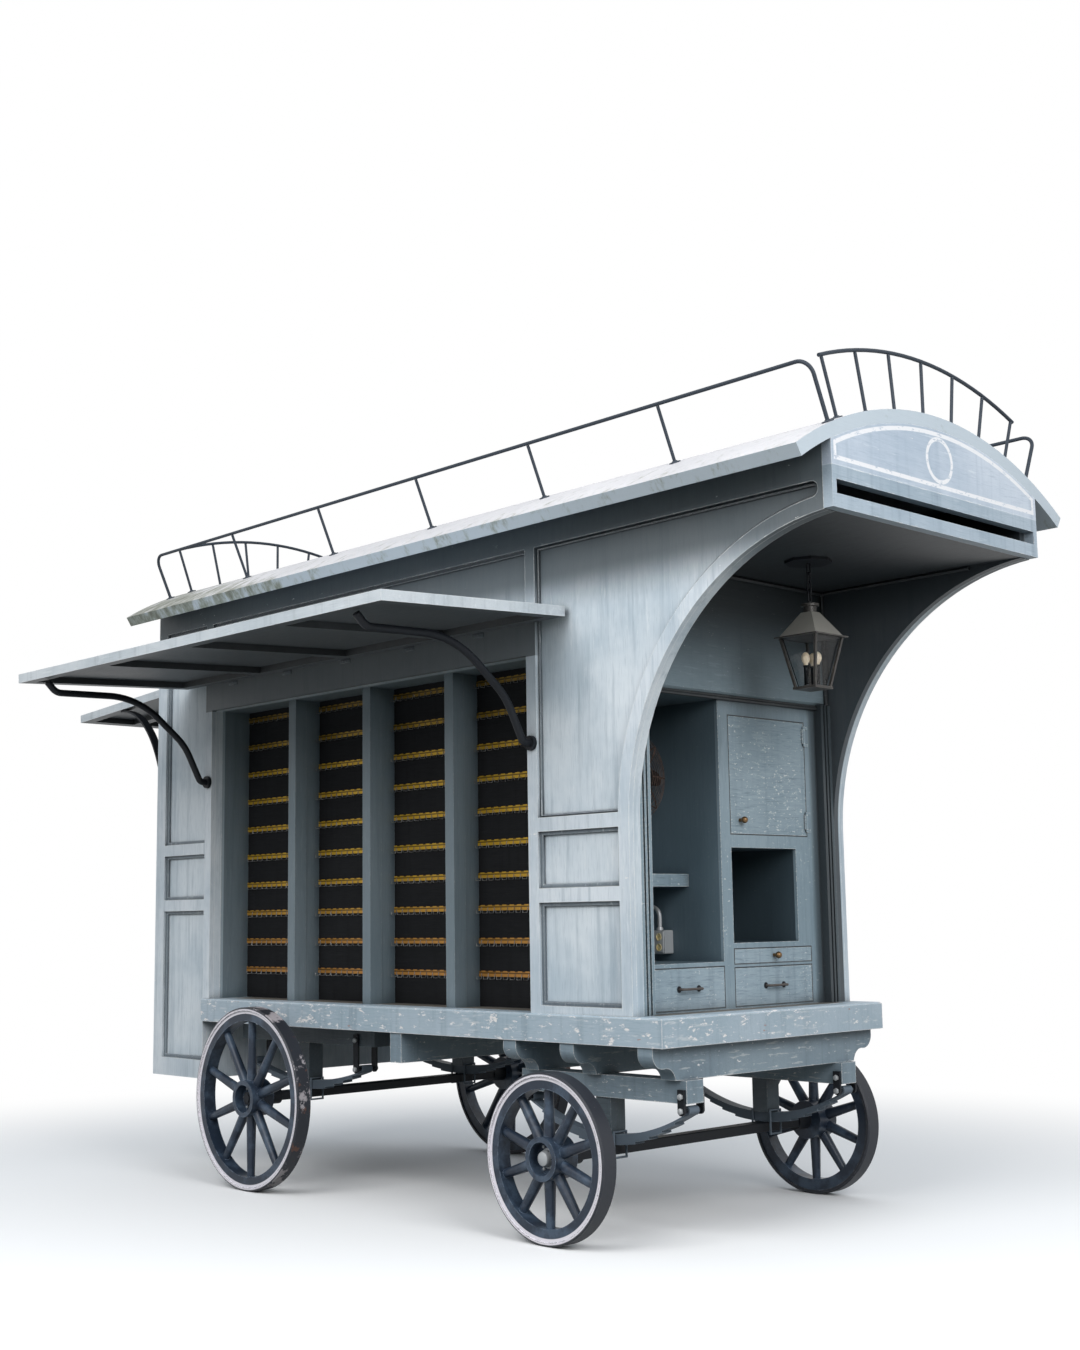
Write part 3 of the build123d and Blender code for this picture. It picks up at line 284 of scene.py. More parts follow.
def paintedTimber(name, look):
    material, tree, shader = bareMaterial(name)
    age = place(tree, paintAge, {"Chip Amount": look["chips"], "Chip Scale": look["chipScale"],
                                 "Edge Width": look["edge"], "Scuff Stretch": look["scuffStretch"]})
    grain = place(tree, boardGrain, {"Stretch": look["stretch"]})
    colour = blendTone(tree, ramp(tree, age["Patch"], 0.35, 0.68), tone(*look["base"]), tone(*look["pale"]))
    # painted shade: the paint darkens between two heights, towards the eaves and the soffit
    height = objectAxes(tree)[2]
    paintedShade = times(tree, ramp(tree, height, look["overheadShadeFrom"], look["overheadShadeTo"]), look["overheadShade"])
    marks = (
        (times(tree, ramp(tree, age["Streak"], 0.48, 0.75), look["streaks"]), "streak"),
        (times(tree, ramp(tree, grain["Grain"], 0.4, 0.7), 0.22), "pale"),
        (times(tree, ramp(tree, grain["Fine"], 0.52, 0.7), look["lines"]), "streak"),
        (times(tree, age["Scuff"], look["scuffs"]), "worn"),
        (paintedShade, "paintedShade"),
        # worn paint with a painted highlight along the edges
        (times(tree, age["Edge"], look["edgeWearAndHighlight"]), "worn"),
        (age["Chip"], "chip"),
        # painted shade with dirt in corners and recesses
        (times(tree, age["Shade And Grime"], look["cornerShadeAndGrime"]), "dirtAndShade"),
    )
    for share, mark in marks:
        colour = blendTone(tree, share, colour, tone(*look[mark]))
    rough = calc(tree, "MULTIPLY_ADD", grain["Fine"], 0.18, look["rough"])
    fill(tree, shader.inputs, {"Base Color": colour, "Roughness": rough,
                               "Specular IOR Level": look["gloss"]})
    relief = calc(tree, "MULTIPLY_ADD", age["Chip"], -0.5, grain["Grain"])
    bumpInto(tree, shader, relief, 0.25, 0.004)
    return material


# the panels' look, then what changes on the other timber
upright, alongX, alongY = (40.0, 40.0, 2.0), (2.0, 40.0, 40.0), (40.0, 2.0, 40.0)
brushedAcross = {"stretch": alongY, "scuffStretch": (30.0, 3.0, 34.0)}
panelLook = {
    "base": (172, 186, 196), "pale": (212, 219, 224), "streak": (132, 149, 161), "worn": (230, 233, 234),
    "chip": (226, 226, 224), "dirtAndShade": (48, 55, 60), "paintedShade": (66, 74, 78), "chips": 0.24, "chipScale": 18.0,
    "edge": 0.006, "edgeWearAndHighlight": 0.55, "streaks": 0.48, "lines": 0.3, "scuffs": 0.26, "cornerShadeAndGrime": 0.85,
    "overheadShade": 0.92, "overheadShadeFrom": 2.40, "overheadShadeTo": 2.60, "rough": 0.42, "gloss": 0.4,
    "stretch": upright, "scuffStretch": (26.0, 26.0, 3.0),
}
railLook = dict(panelLook, base=(174, 187, 197), pale=(213, 219, 224), chips=0.36)
coverLook = dict(panelLook, overheadShade=0.0, stretch=alongX, scuffStretch=(3.0, 26.0, 30.0))
cabinetLook = dict(panelLook, base=(120, 138, 148), pale=(136, 152, 161), streak=(92, 110, 120),
                   worn=(160, 174, 181), chip=(208, 211, 210), dirtAndShade=(20, 25, 28), paintedShade=(70, 84, 92),
                   overheadShade=0.4, chips=0.42, chipScale=44.0, scuffs=0.2, lines=0.35, edgeWearAndHighlight=0.35)
doorLook = dict(cabinetLook, chips=0.52, scuffs=0.3, lines=0.6, **brushedAcross)
# the front header darkens towards its top: painted shade under the soffit
headerLook = dict(cabinetLook, base=(106, 122, 130), pale=(118, 133, 141), paintedShade=(36, 41, 44), overheadShade=0.95,
                  overheadShadeFrom=2.12, overheadShadeTo=2.5, chips=0.36, **brushedAcross)
sillLook = dict(coverLook, base=(150, 167, 178), pale=(170, 183, 193), streak=(112, 129, 140),
                worn=(220, 220, 218), chip=(224, 221, 219), chips=0.63, chipScale=21.0, edgeWearAndHighlight=0.9,
                scuffs=0.35, scuffStretch=(4.0, 4.0, 34.0))
beamLook = dict(sillLook, base=(108, 124, 135), pale=(130, 145, 154), streak=(84, 98, 107), chips=0.5,
                edgeWearAndHighlight=0.6)
shadeLook = dict(coverLook, base=(60, 70, 77), pale=(78, 90, 97), streak=(48, 55, 60), worn=(104, 113, 119),
                 chip=(140, 142, 142), dirtAndShade=(22, 26, 29), chips=0.3)
# the soffit is painted near black: painted shade under the canopy
soffitShadeLook = dict(shadeLook, base=(33, 37, 40), pale=(42, 47, 50), streak=(27, 31, 33), worn=(66, 72, 76),
                  chips=0.2, scuffs=0.2)
awningLook = dict(coverLook, base=(178, 187, 193), pale=(206, 211, 215), streak=(146, 154, 160))
postLook = dict(panelLook, base=(142, 158, 167), pale=(160, 173, 181), streak=(114, 130, 138),
                worn=(194, 203, 208), dirtAndShade=(26, 31, 34), paintedShade=(64, 77, 84), overheadShade=0.6)
# the beads are painted darker than the panels: painted shade along the panel edges, with dirt
beadDirtAndShadeLook = dict(panelLook, base=(84, 94, 102), pale=(112, 122, 129), streak=(68, 77, 84), dirtAndShade=(24, 27, 30),
                paintedShade=(46, 52, 57))
fasciaLook = dict(coverLook, base=(138, 154, 167), pale=(160, 173, 184), streak=(112, 128, 140),
                  worn=(190, 200, 207), dirtAndShade=(30, 36, 41), stretch=alongY, scuffStretch=(26.0, 3.0, 30.0))
# near black: painted shade under the header and in the canopy's corners
trackShadeLook = dict(coverLook, base=(30, 33, 36), pale=(44, 48, 51), streak=(24, 26, 28), worn=(88, 94, 97),
                 dirtAndShade=(14, 15, 16), chip=(120, 122, 122))
pipeLook = dict(postLook, base=(86, 107, 118), pale=(96, 116, 126), overheadShade=0.0)
drawerLook = dict(doorLook, base=(136, 153, 163), pale=(150, 165, 174))

panelPaint = paintedTimber("panelPaint", panelLook)
railPaint = paintedTimber("railPaint", railLook)
cabinetPaint = paintedTimber("cabinetPaint", cabinetLook)
doorPaint = paintedTimber("doorPaint", doorLook)
sillPaint = paintedTimber("sillPaint", sillLook)
beamPaint = paintedTimber("beamPaint", beamLook)
shadePaint = paintedTimber("shadePaint", shadeLook)
soffitShadePaint = paintedTimber("soffitShadePaint", soffitShadeLook)
headerPaint = paintedTimber("headerPaint", headerLook)
pipePaint = paintedTimber("pipePaint", pipeLook)
fasciaPaint = paintedTimber("fasciaPaint", fasciaLook)
awningPaint = paintedTimber("awningPaint", awningLook)
postPaint = paintedTimber("postPaint", postLook)
beadDirtAndShadePaint = paintedTimber("beadDirtAndShadePaint", beadDirtAndShadeLook)
trackShadePaint = paintedTimber("trackShadePaint", trackShadeLook)
drawerPaint = paintedTimber("drawerPaint", drawerLook)
# copies of the panel and rail paint, which take painted shade in the sheltered places below
farPanelShadedPaint = paintedTimber("farPanelShadedPaint", panelLook)
nearRailShadedPaint = paintedTimber("nearRailShadedPaint", railLook)


def ironMaterial(name, look, **changes):
    look = dict(look, **changes)
    material, tree, shader = bareMaterial(name)
    rub = place(tree, ironRub, {"Rust": look["rust"], "Edge Width": look["edge"]})
    colour = blendTone(tree, rub["Rub"], tone(*look["base"]), tone(*look["worn"]))
    colour = blendTone(tree, times(tree, rub["Rust"], 0.8), colour, tone(*look["rustTone"]))
    rough = calc(tree, "MULTIPLY_ADD", rub["Rust"], 0.3, look["rough"])
    fill(tree, shader.inputs, {"Base Color": colour, "Roughness": rough, "Metallic": look["metal"],
                               "Specular IOR Level": look["gloss"]})
    bumpInto(tree, shader, rub["Dent"], 0.15, 0.002)
    return material


ironLook = {
    "base": (20, 23, 28), "worn": (74, 80, 87), "rustTone": (66, 50, 42), "rust": 0.1, "edge": 0.003,
    "rough": 0.5, "metal": 0.0, "gloss": 0.2,
}
darkIron = ironMaterial("darkIron", ironLook)
hookWire = ironMaterial("hookWire", ironLook, base=(92, 92, 91), worn=(190, 190, 188), rust=0.35)
railIron = ironMaterial("railIron", ironLook, base=(50, 57, 66), worn=(126, 132, 139), rust=0.2)
bronze = ironMaterial("lanternBronze", ironLook, base=(58, 56, 54), worn=(150, 146, 140),
                      rustTone=(40, 40, 39), rust=0.3, metal=0.2, rough=0.4, gloss=0.4)
zinc = ironMaterial("zincPlate", ironLook, base=(164, 167, 169), worn=(214, 215, 215), metal=0.3, rough=0.36)
fanEnamel = ironMaterial("fanEnamel", ironLook, base=(22, 20, 20), worn=(84, 76, 70), rustTone=(58, 42, 36),
                         rust=0.25)
cageWire = ironMaterial("cageWire", ironLook, base=(62, 49, 44), worn=(140, 118, 106), rustTone=(58, 40, 33),
                        rust=0.4, metal=0.2)
brassWorn = ironMaterial("wornBrass", ironLook, base=(112, 88, 62), worn=(196, 160, 112),
                         rustTone=(128, 74, 46), rust=0.45, metal=0.85, rough=0.34)
springSteel = ironMaterial("springSteel", ironLook, base=(92, 103, 114), worn=(168, 175, 180), rust=0.25)

# painted highlight: the lantern's upper faces are painted pale
paintOver(bronze, ramp(bronze.node_tree, upwardness(bronze.node_tree), 0.15, 0.6), (166, 164, 157), 0.85)
print("base materials made")


# pediment: a painted border line and a plain ring
pedimentLine = {
    "half": 0.652, "low": 2.789, "roofCentre": 1.459, "arc": 1.53, "width": 0.016, "soft": 0.0012,
    "ringHeight": 2.889, "ringRadius": 0.082, "colour": (222, 222, 224),
}
pedimentLook = dict(panelLook, base=(160, 173, 187), pale=(186, 195, 206), streak=(138, 153, 169), overheadShade=0.0,
                    chips=0.3, stretch=alongY, scuffStretch=(26.0, 2.0, 26.0), lines=0.4)


def makePedimentPaint(look, line):
    material = paintedTimber("pedimentPaint", look)
    tree = material.node_tree
    axes = objectAxes(tree, (0, midY, 0))
    half, soft = line["width"] / 2, line["soft"]
    across = calc(tree, "ABSOLUTE", axes[1])
    fromBottom = minus(tree, axes[2], line["low"])
    fromSide = minus(tree, line["half"], across)
    reach = distance(tree, minus(tree, axes[2], line["roofCentre"]), across)
    fromArc = minus(tree, line["arc"], reach)
    inside = calc(tree, "MINIMUM", calc(tree, "MINIMUM", fromBottom, fromSide), fromArc)
    border = band(tree, inside, -half, half, soft)
    radius = distance(tree, minus(tree, axes[2], line["ringHeight"]), across)
    ring = band(tree, radius, line["ringRadius"] - half, line["ringRadius"] + half, soft)
    age = place(tree, paintAge, {"Chip Amount": 0.7, "Chip Scale": 30.0})
    whole = inverse(tree, times(tree, age["Chip"], 0.8))
    paintOver(material, times(tree, calc(tree, "MAXIMUM", border, ring), whole), line["colour"], 0.92)
    return material


pedimentPaint = makePedimentPaint(pedimentLook, pedimentLine)


def addUndersideShade(material, colour, share):
    # painted shade: darker paint on faces that look down
    tree = material.node_tree
    down = times(tree, upwardness(tree), -1.0)
    paintOver(material, ramp(tree, down, 0.6, 0.9), colour, share)


def addBattenShade(material, mask, colour, share):
    # the battens under the awnings, on their upright faces
    tree = material.node_tree
    side = calc(tree, "LESS_THAN", calc(tree, "ABSOLUTE", upwardness(tree)), 0.5)
    paintOver(material, times(tree, side, mask), colour, share)


addUndersideShade(awningPaint, (60, 65, 69), 0.9)


def addPrimerSpots(material, colour):
    tree = material.node_tree
    spots = cloud(tree, stretched(tree, objectCoords(tree), (1.0, 1.0, 3.0)), 9.0, 7.0, 0.7)
    paintOver(material, ramp(tree, spots, 0.66, 0.7), colour, 0.75)


addPrimerSpots(sillPaint, (158, 104, 74))


def boxMask(tree, low, high, soft=0.001):
    # 1 inside a box given by two corners of the body's datum
    axes = objectAxes(tree)
    low, high = at(*low), at(*high)
    mask = band(tree, axes[0], low.x, high.x, soft)
    mask = times(tree, mask, band(tree, axes[1], low.y, high.y, soft))
    return times(tree, mask, band(tree, axes[2], low.z, high.z, soft))


cabinetFronts = {
    "face": 3.346, "width": 0.005, "colour": (16, 19, 21),
    "fronts": ((-0.530, -0.098, 0.850, 1.012), (-0.034, 0.468, 0.850, 1.004),
               (-0.034, 0.468, 1.018, 1.079), (-0.034, 0.468, 1.540, 2.027)),
}


def addFrontGapShade(material, look):
    # painted shade in the gaps round the door and the drawers: near edge, far edge, bottom, top of each
    tree = material.node_tree
    axes = objectAxes(tree, at(look["face"], 0, 0))
    face = ramp(tree, axes[0], -0.002, 0.002)
    half = look["width"] / 2
    gaps = 0.0
    for near, far, low, high in look["fronts"]:
        across = calc(tree, "ABSOLUTE", minus(tree, axes[1], (near + far) / 2))
        up = calc(tree, "ABSOLUTE", minus(tree, axes[2], (low + high) / 2))
        outside = calc(tree, "MAXIMUM", minus(tree, across, (far - near) / 2),
                       minus(tree, up, (high - low) / 2))
        gaps = calc(tree, "MAXIMUM", gaps, band(tree, outside, -half, half, 0.0015))
    paintOver(material, times(tree, gaps, face), look["colour"], 0.85)


for paint in (cabinetPaint, doorPaint, drawerPaint):
    addFrontGapShade(paint, cabinetFronts)

awningInside = calc(awningPaint.node_tree, "MAXIMUM",
                    boxMask(awningPaint.node_tree, (0.32, -1.570, 2.0), (3.02, -0.715, 2.60)),
                    boxMask(awningPaint.node_tree, (-0.855, -0.600, 2.0), (-0.04, 0.600, 2.60)))
addBattenShade(awningPaint, awningInside, (26, 29, 31), 0.9)

# painted shade in sheltered places, and the pulls' own dark bronze: paint, two corners of the box, softness,
# colour, share
hard = 0.001
shadedPlacesAndPulls = (
    # head board over the display, inside of the canopy's far wall, display lining
    (nearRailShadedPaint, (0.455, -0.700, 2.270), (2.887, -0.640, 2.470), hard, (90, 96, 100), 0.9),
    (farPanelShadedPaint, (3.0, 0.58, 0.5), (4.6, 0.640, 2.9), hard, (40, 46, 51), 0.92),
    (postPaint, (0.48, -0.596, 0.80), (2.86, -0.40, 2.32), hard, (66, 80, 87), 0.66),
    # cabinet: inside, top of the niche, head, far stile, open niche, far post
    (cabinetPaint, (2.80, -0.60, 0.80), (3.335, 0.52, 2.20), hard, (72, 90, 100), 0.75),
    (cabinetPaint, (2.80, -0.60, 1.95), (3.335, 0.52, 2.20), 0.35, (20, 24, 27), 0.9),
    (cabinetPaint, (3.335, -0.60, 2.075), (3.40, 0.60, 2.20), 0.035, (30, 35, 38), 0.85),
    (cabinetPaint, (3.335, 0.505, 0.80), (3.40, 0.60, 2.20), 0.02, (36, 42, 46), 0.75),
    (cabinetPaint, (2.80, -0.040, 1.08), (3.335, 0.40, 1.50), hard, (44, 56, 63), 0.8),
    (cabinetPaint, (3.30, 0.540, 0.80), (3.40, 0.62, 2.15), hard, (40, 46, 50), 0.75),
    # pulls, which stand proud of the drawer fronts
    (drawerPaint, (3.3515, -0.7, 0.8), (3.5, 0.7, 1.2), 0.0005, (70, 60, 54), 0.95),
)
for paint, low, high, soft, colour, share in shadedPlacesAndPulls:
    paintOver(paint, boxMask(paint.node_tree, low, high, soft), colour, share)

# wheels: slate paint with a white ring round the outer face
wheelRing = {"outer": 0.008, "width": 0.021, "face": 0.838, "colour": (226, 222, 228)}
sides = {"near": -1, "far": 1}
wheelAxles = {
    "front": {"centre": (3.07, 0, 0.318), "radius": 0.318, "peel": 0.66},
    "rear": {"centre": (1.093, 0, 0.412), "radius": 0.412, "peel": 0.535},
}
wheelLook = {
    "base": (32, 42, 56), "worn": (128, 144, 162), "rustTone": (58, 66, 76), "rust": 0.25, "edge": 0.007,
    "rough": 0.4, "metal": 0.0, "gloss": 0.35,
}
tyreLook = dict(wheelLook, base=(40, 43, 50), worn=(120, 118, 120), rust=0.2, rough=0.5)


def wheelReach(tree, axle):
    # distance from the axle's line, and along it
    axes = objectAxes(tree, at(*axle["centre"]))
    return distance(tree, axes[2], axes[0]), axes[1]


def addWheelRing(material, axle, ring):
    tree = material.node_tree
    radius, along = wheelReach(tree, axle)
    outer = axle["radius"] - ring["outer"]
    mask = band(tree, radius, outer - ring["width"], outer, 0.001)
    face = ramp(tree, calc(tree, "ABSOLUTE", along), ring["face"] - 0.002, ring["face"])
    age = place(tree, paintAge, {"Chip Amount": 0.5, "Chip Scale": 40.0})
    mask = times(tree, times(tree, mask, face), inverse(tree, age["Chip"]))
    paintOver(material, mask, ring["colour"], 0.95)


wheelDust = (84, 101, 120)


def addDust(material, colour):
    tree = material.node_tree
    dust = cloud(tree, objectCoords(tree), 9.0, 6.0, 0.62)
    paintOver(material, ramp(tree, dust, 0.44, 0.68), colour, 0.55)


treadMarks = {"peel": (176, 170, 174), "rust": (98, 68, 56)}


def addTreadPeel(material, axle, marks):
    # pale peeling paint and rust on the tread
    tree = material.node_tree
    radius, along = wheelReach(tree, axle)
    tread = ramp(tree, radius, axle["radius"] - 0.004, axle["radius"] - 0.002)
    coords = objectCoords(tree)
    peel = axle["peel"]
    for scale, low, mark, share in ((6.0, peel, "peel", 0.85), (11.0, peel + 0.06, "rust", 0.8)):
        flakes = ramp(tree, cloud(tree, coords, scale, 8.0, 0.7), low, low + 0.04)
        paintOver(material, times(tree, tread, flakes), marks[mark], share)


wheelPaints, tyrePaints = {}, {}
for axleName, axle in wheelAxles.items():
    wheelPaints[axleName] = ironMaterial(axleName + "WheelPaint", wheelLook)
    addDust(wheelPaints[axleName], wheelDust)
    tyrePaints[axleName] = ironMaterial(axleName + "TyreIron", tyreLook)
    addWheelRing(wheelPaints[axleName], axle, wheelRing)
    addTreadPeel(tyrePaints[axleName], axle, treadMarks)
    addWheelRing(tyrePaints[axleName], axle, wheelRing)

# roof: off-white sheet, mossy and streaked towards the rear and the eaves
roofLook = dict(coverLook, base=(194, 193, 196), pale=(210, 208, 210), streak=(166, 168, 167),
                worn=(198, 200, 198), chip=(160, 160, 154), chips=0.2, chipScale=10.0, rough=0.5,
                stretch=(30.0, 3.0, 30.0))
roofMoss = {"reach": 1.9, "eave": 0.62, "colour": (118, 122, 104), "deep": (74, 78, 66),
            "edge": (172, 184, 193)}


def makeRoofSheet(look, moss):
    material = paintedTimber("roofSheet", look)
    tree = material.node_tree
    axes = objectAxes(tree, at(0, 0, 0))
    rearward = inverse(tree, ramp(tree, axes[0], -0.2, moss["reach"]))
    eave = ramp(tree, calc(tree, "ABSOLUTE", axes[1]), moss["eave"], 0.9)
    coords = objectCoords(tree)
    runs = cloud(tree, stretched(tree, coords, (5.0, 2.0, 2.4)), 3.4, 9.0, 0.72)
    share = calc(tree, "MULTIPLY_ADD", rearward, 0.24, calc(tree, "MULTIPLY_ADD", eave, 0.1, runs))
    paintOver(material, inverse(tree, ramp(tree, upwardness(tree), 0.2, 0.5)), moss["edge"], 0.9)
    paintOver(material, ramp(tree, share, 0.6, 0.78), moss["colour"], 0.75)
    paintOver(material, ramp(tree, share, 0.74, 0.9), moss["deep"], 0.7)
    return material


roofSheet = makeRoofSheet(roofLook, roofMoss)

# display: near black back board and gilt hook strips with punched slots
blackLook = dict(coverLook, base=(19, 20, 22), pale=(30, 31, 33), streak=(14, 15, 16), worn=(52, 52, 52),
                 chip=(70, 68, 66), dirtAndShade=(10, 10, 11), chips=0.1, scuffs=0.1, rough=0.7, gloss=0.12)
blackBack = paintedTimber("blackBack", blackLook)
stripLook = dict(ironLook, base=(188, 150, 44), worn=(214, 184, 96), rustTone=(120, 90, 36), rust=0.2,
                 metal=0.35, rough=0.4)
stripSlots = {"foot": 0.981, "rowPitch": 0.1395, "lip": 0.006, "pitch": 0.046, "start": 0.35, "length": 0.42,
              "slotLow": 0.008, "slotHigh": 0.017, "soft": 0.0008, "colour": (24, 20, 14),
              "low": (160, 106, 62), "top": (92, 74, 36)}


def makeHookStrip(look, slots):
    material = ironMaterial("hookStrip", look)
    tree = material.node_tree
    axes = objectAxes(tree, at(0, 0, slots["foot"]))
    pitch, soft = slots["rowPitch"], slots["soft"]
    phase = calc(tree, "FRACT", calc(tree, "DIVIDE", axes[0], slots["pitch"]))
    dash = band(tree, phase, slots["start"], slots["start"] + slots["length"], 0.02)
    # height within the row, counted from ten rows lower to stay above nought
    row = calc(tree, "FRACT", calc(tree, "DIVIDE", calc(tree, "ADD", axes[2], 10 * pitch), pitch))
    height = times(tree, row, pitch)
    middle = band(tree, height, slots["slotLow"], slots["slotHigh"], soft)
    # the low rows are browner, and the top rows are darkened as painted shade
    paintOver(material, inverse(tree, ramp(tree, axes[2], 0.05, 0.55)), slots["low"], 0.75)
    paintOver(material, ramp(tree, axes[2], 0.95, 1.25), slots["top"], 0.7)
    paintOver(material, times(tree, dash, middle), slots["colour"], 0.9)
    # painted shade: a dark band along each strip's lower lip
    paintOver(material, band(tree, height, -0.001, slots["lip"], soft), slots["colour"], 0.75)
    return material


hookStrip = makeHookStrip(stripLook, stripSlots)
floorLook = dict(coverLook, base=(92, 88, 82), pale=(118, 112, 104), streak=(74, 70, 66),
                 worn=(140, 132, 122), chip=(150, 142, 130))
floorBoards = paintedTimber("floorBoards", floorLook)


def makeLanternPane():
    material, tree, shader = bareMaterial("lanternPane")
    coords = objectCoords(tree)
    smears = times(tree, ramp(tree, cloud(tree, coords, 12.0), 0.5, 0.8), 0.03)
    fill(tree, shader.inputs, {"Transmission Weight": 1.0, "IOR": 1.2, "Roughness": smears})
    bumpInto(tree, shader, cloud(tree, coords, 9.0, 2.0), 0.02, 0.001)
    return material


def mottled(name, scale, low, deep, light, rough):
    # two close tones clouded together
    material, tree, shader = bareMaterial(name)
    share = ramp(tree, cloud(tree, objectCoords(tree), scale), low, 0.7)
    colour = blendTone(tree, share, tone(*deep), tone(*light))
    fill(tree, shader.inputs, {"Base Color": colour, "Roughness": rough})
    return material


lanternPane = makeLanternPane()
candleWax = mottled("candleWax", 40.0, 0.4, (222, 206, 178), (240, 230, 210), 0.35)
outletPlastic = mottled("outletPlastic", 90.0, 0.35, (206, 186, 128), (228, 214, 168), 0.45)

finishNodes = (
    (panelPaint, "side_board_near rear_board"),
    (farPanelShadedPaint, "side_board_far"),
    (nearRailShadedPaint, "side_frame_near"),
    (railPaint, "side_frame_far rear_frame boot_box"),
    (fasciaPaint, "fascia"),
    (pedimentPaint, "pediment"),
    (soffitShadePaint, "soffit"),
    (headerPaint, "front_header"),
    (cabinetPaint, "front_posts cabinet_case"),
    (doorPaint, "cabinet_door niche_shelf door_hinges"),
    (drawerPaint, "large_drawer left_drawer small_drawer"),
    (sillPaint, "deck_sill"),
    (floorBoards, "deck_floor"),
    (beamPaint, "cross_beams front_beams"),
    (shadePaint, "rear_beams spring_posts"),
    (roofSheet, "roof"),
    (awningPaint, "side_awning rear_awning"),
    (blackBack, "display_back"),
    (postPaint, "display_case display_dividers"),
    (hookStrip, "display_strips"),
    (darkIron, "front_axle rear_axle spring_shackles side_awning_stays rear_brackets lantern_hanger"),
    (springSteel, "front_springs rear_springs"),
    (railIron, "roof_end_rails roof_rail_posts roof_side_rails"),
    (bronze, "lantern_frame"),
    (lanternPane, "lantern_glass"),
    (candleWax, "lantern_candles"),
    (fanEnamel, "fan_guard fan_blades"),
    (zinc, "socket_box"),
    (pipePaint, "niche_pipe"),
    (brassWorn, "door_knob small_drawer_knob"),
)
nodeFinish = {name: material for material, names in finishNodes for name in names.split()}
for axleName in wheelAxles:
    for side in sides:
        nodeFinish["wheel_" + axleName + "_" + side] = wheelPaints[axleName]
        nodeFinish["tyre_" + axleName + "_" + side] = tyrePaints[axleName]


def dressNodes(finishes):
    for name, material in finishes.items():
        nodes[name].data.materials.clear()
        nodes[name].data.materials.append(material)
    missed = set(nodes) - set(finishes)
    print("nodes dressed:", len(finishes), "left plain:", sorted(missed))


dressNodes(nodeFinish)

# stage: pale floor, open white world, two large soft lamps
studio = {
    "floorSize": 60.0, "floorTone": (240, 240, 240), "bounceTone": (104, 106, 102),
    "worldTone": (228, 236, 244), "skyLow": 0.32, "skyHigh": 0.8, "fadeStart": 2.2, "fadeEnd": 5.5,
    "lamps": (
        {"spot": (3.4, -7.0, 6.0), "aim": (2.6, -0.6, 1.2), "size": 5.0, "power": 430},
        {"spot": (9.6, -2.2, 4.6), "aim": (3.4, 0, 1.5), "size": 4.0, "power": 390},
    ),
}


def seenRay(tree):
    # camera, mirror and glass rays see the pale background
    path = addNode(tree, "LightPath", {}).outputs
    seen = calc(tree, "MAXIMUM", path["Is Camera Ray"], path["Is Glossy Ray"])
    return calc(tree, "MAXIMUM", seen, path["Is Transmission Ray"])


def addFloor(look):
    bpy.ops.object.select_all(action="DESELECT")
    bpy.ops.mesh.primitive_plane_add(size=look["floorSize"], location=(0, 0, 0))
    floor = bpy.context.object
    floor.name = "floor"
    material, tree, shader = bareMaterial("paleFloor")
    seen = seenRay(tree)
    shown = blendTone(tree, seen, tone(*look["bounceTone"]), tone(*look["floorTone"]))
    fill(tree, shader.inputs, {"Base Color": shown, "Roughness": 0.9})
    # far off, the floor runs out into the white background
    axes = objectAxes(tree)
    far = ramp(tree, distance(tree, axes[0], axes[1]), look["fadeStart"], look["fadeEnd"])
    glow = addNode(tree, "Emission", {})
    result = tree.nodes["Material Output"].inputs["Surface"]
    mixShaders(tree, times(tree, seen, far), shader, glow, result)
    floor.data.materials.append(material)


def mixShaders(tree, share, first, second, result):
    mix = addNode(tree, "MixShader", {0: share, 1: first.outputs[0], 2: second.outputs[0]})
    tree.links.new(mix.outputs[0], result)


def addSky(look):
    # brighter overhead, and plain white where it is seen
    world = bpy.data.worlds.new("openSky")
    scene.world = world
    world.use_nodes = True
    tree = world.node_tree
    tree.nodes.clear()
    upward = addNode(tree, "SeparateXYZ", {0: addNode(tree, "TexCoord", {}).outputs["Generated"]}).outputs[2]
    rise = ramp(tree, upward, -0.15, 0.8)
    strength = calc(tree, "MULTIPLY_ADD", rise, look["skyHigh"] - look["skyLow"], look["skyLow"])
    ambient = addNode(tree, "Background", {"Color": tone(*look["worldTone"]), "Strength": strength})
    backdrop = addNode(tree, "Background", {"Color": (1, 1, 1, 1)})
    result = addNode(tree, "OutputWorld", {}).inputs[0]
    mixShaders(tree, seenRay(tree), ambient, backdrop, result)


def addLamps(look):
    for lamp in look["lamps"]:
        spot, aim = at(*lamp["spot"]), at(*lamp["aim"])
        bpy.ops.object.light_add(type="AREA", location=spot)
        light = bpy.context.object
        light.rotation_euler = (aim - spot).to_track_quat("-Z", "Y").to_euler()
        light.data.size = lamp["size"]
        light.data.energy = lamp["power"]


addFloor(studio)
addSky(studio)
addLamps(studio)
print("stage lit")


doublesGap, slack = 0.00002, 0.001
both = (-1, 1)
alongFront, alongSide = (1, 0, 0), (0, 1, 0)


def clearSelection():
    if bpy.context.mode != "OBJECT":
        bpy.ops.object.mode_set(mode="OBJECT")
    bpy.ops.object.select_all(action="DESELECT")


def only(*pieces):
    clearSelection()
    for piece in pieces:
        piece.select_set(True)
    bpy.context.view_layer.objects.active = pieces[0]


def selectAll():
    bpy.ops.mesh.select_all(action="SELECT")


def applyPlace():
    bpy.ops.object.transform_apply(location=True, rotation=True, scale=True)


def startEdit(kind="FACE"):
    bpy.ops.object.mode_set(mode="EDIT")
    bpy.ops.mesh.select_mode(type=kind)


def endEdit():
    bpy.ops.object.mode_set(mode="OBJECT")


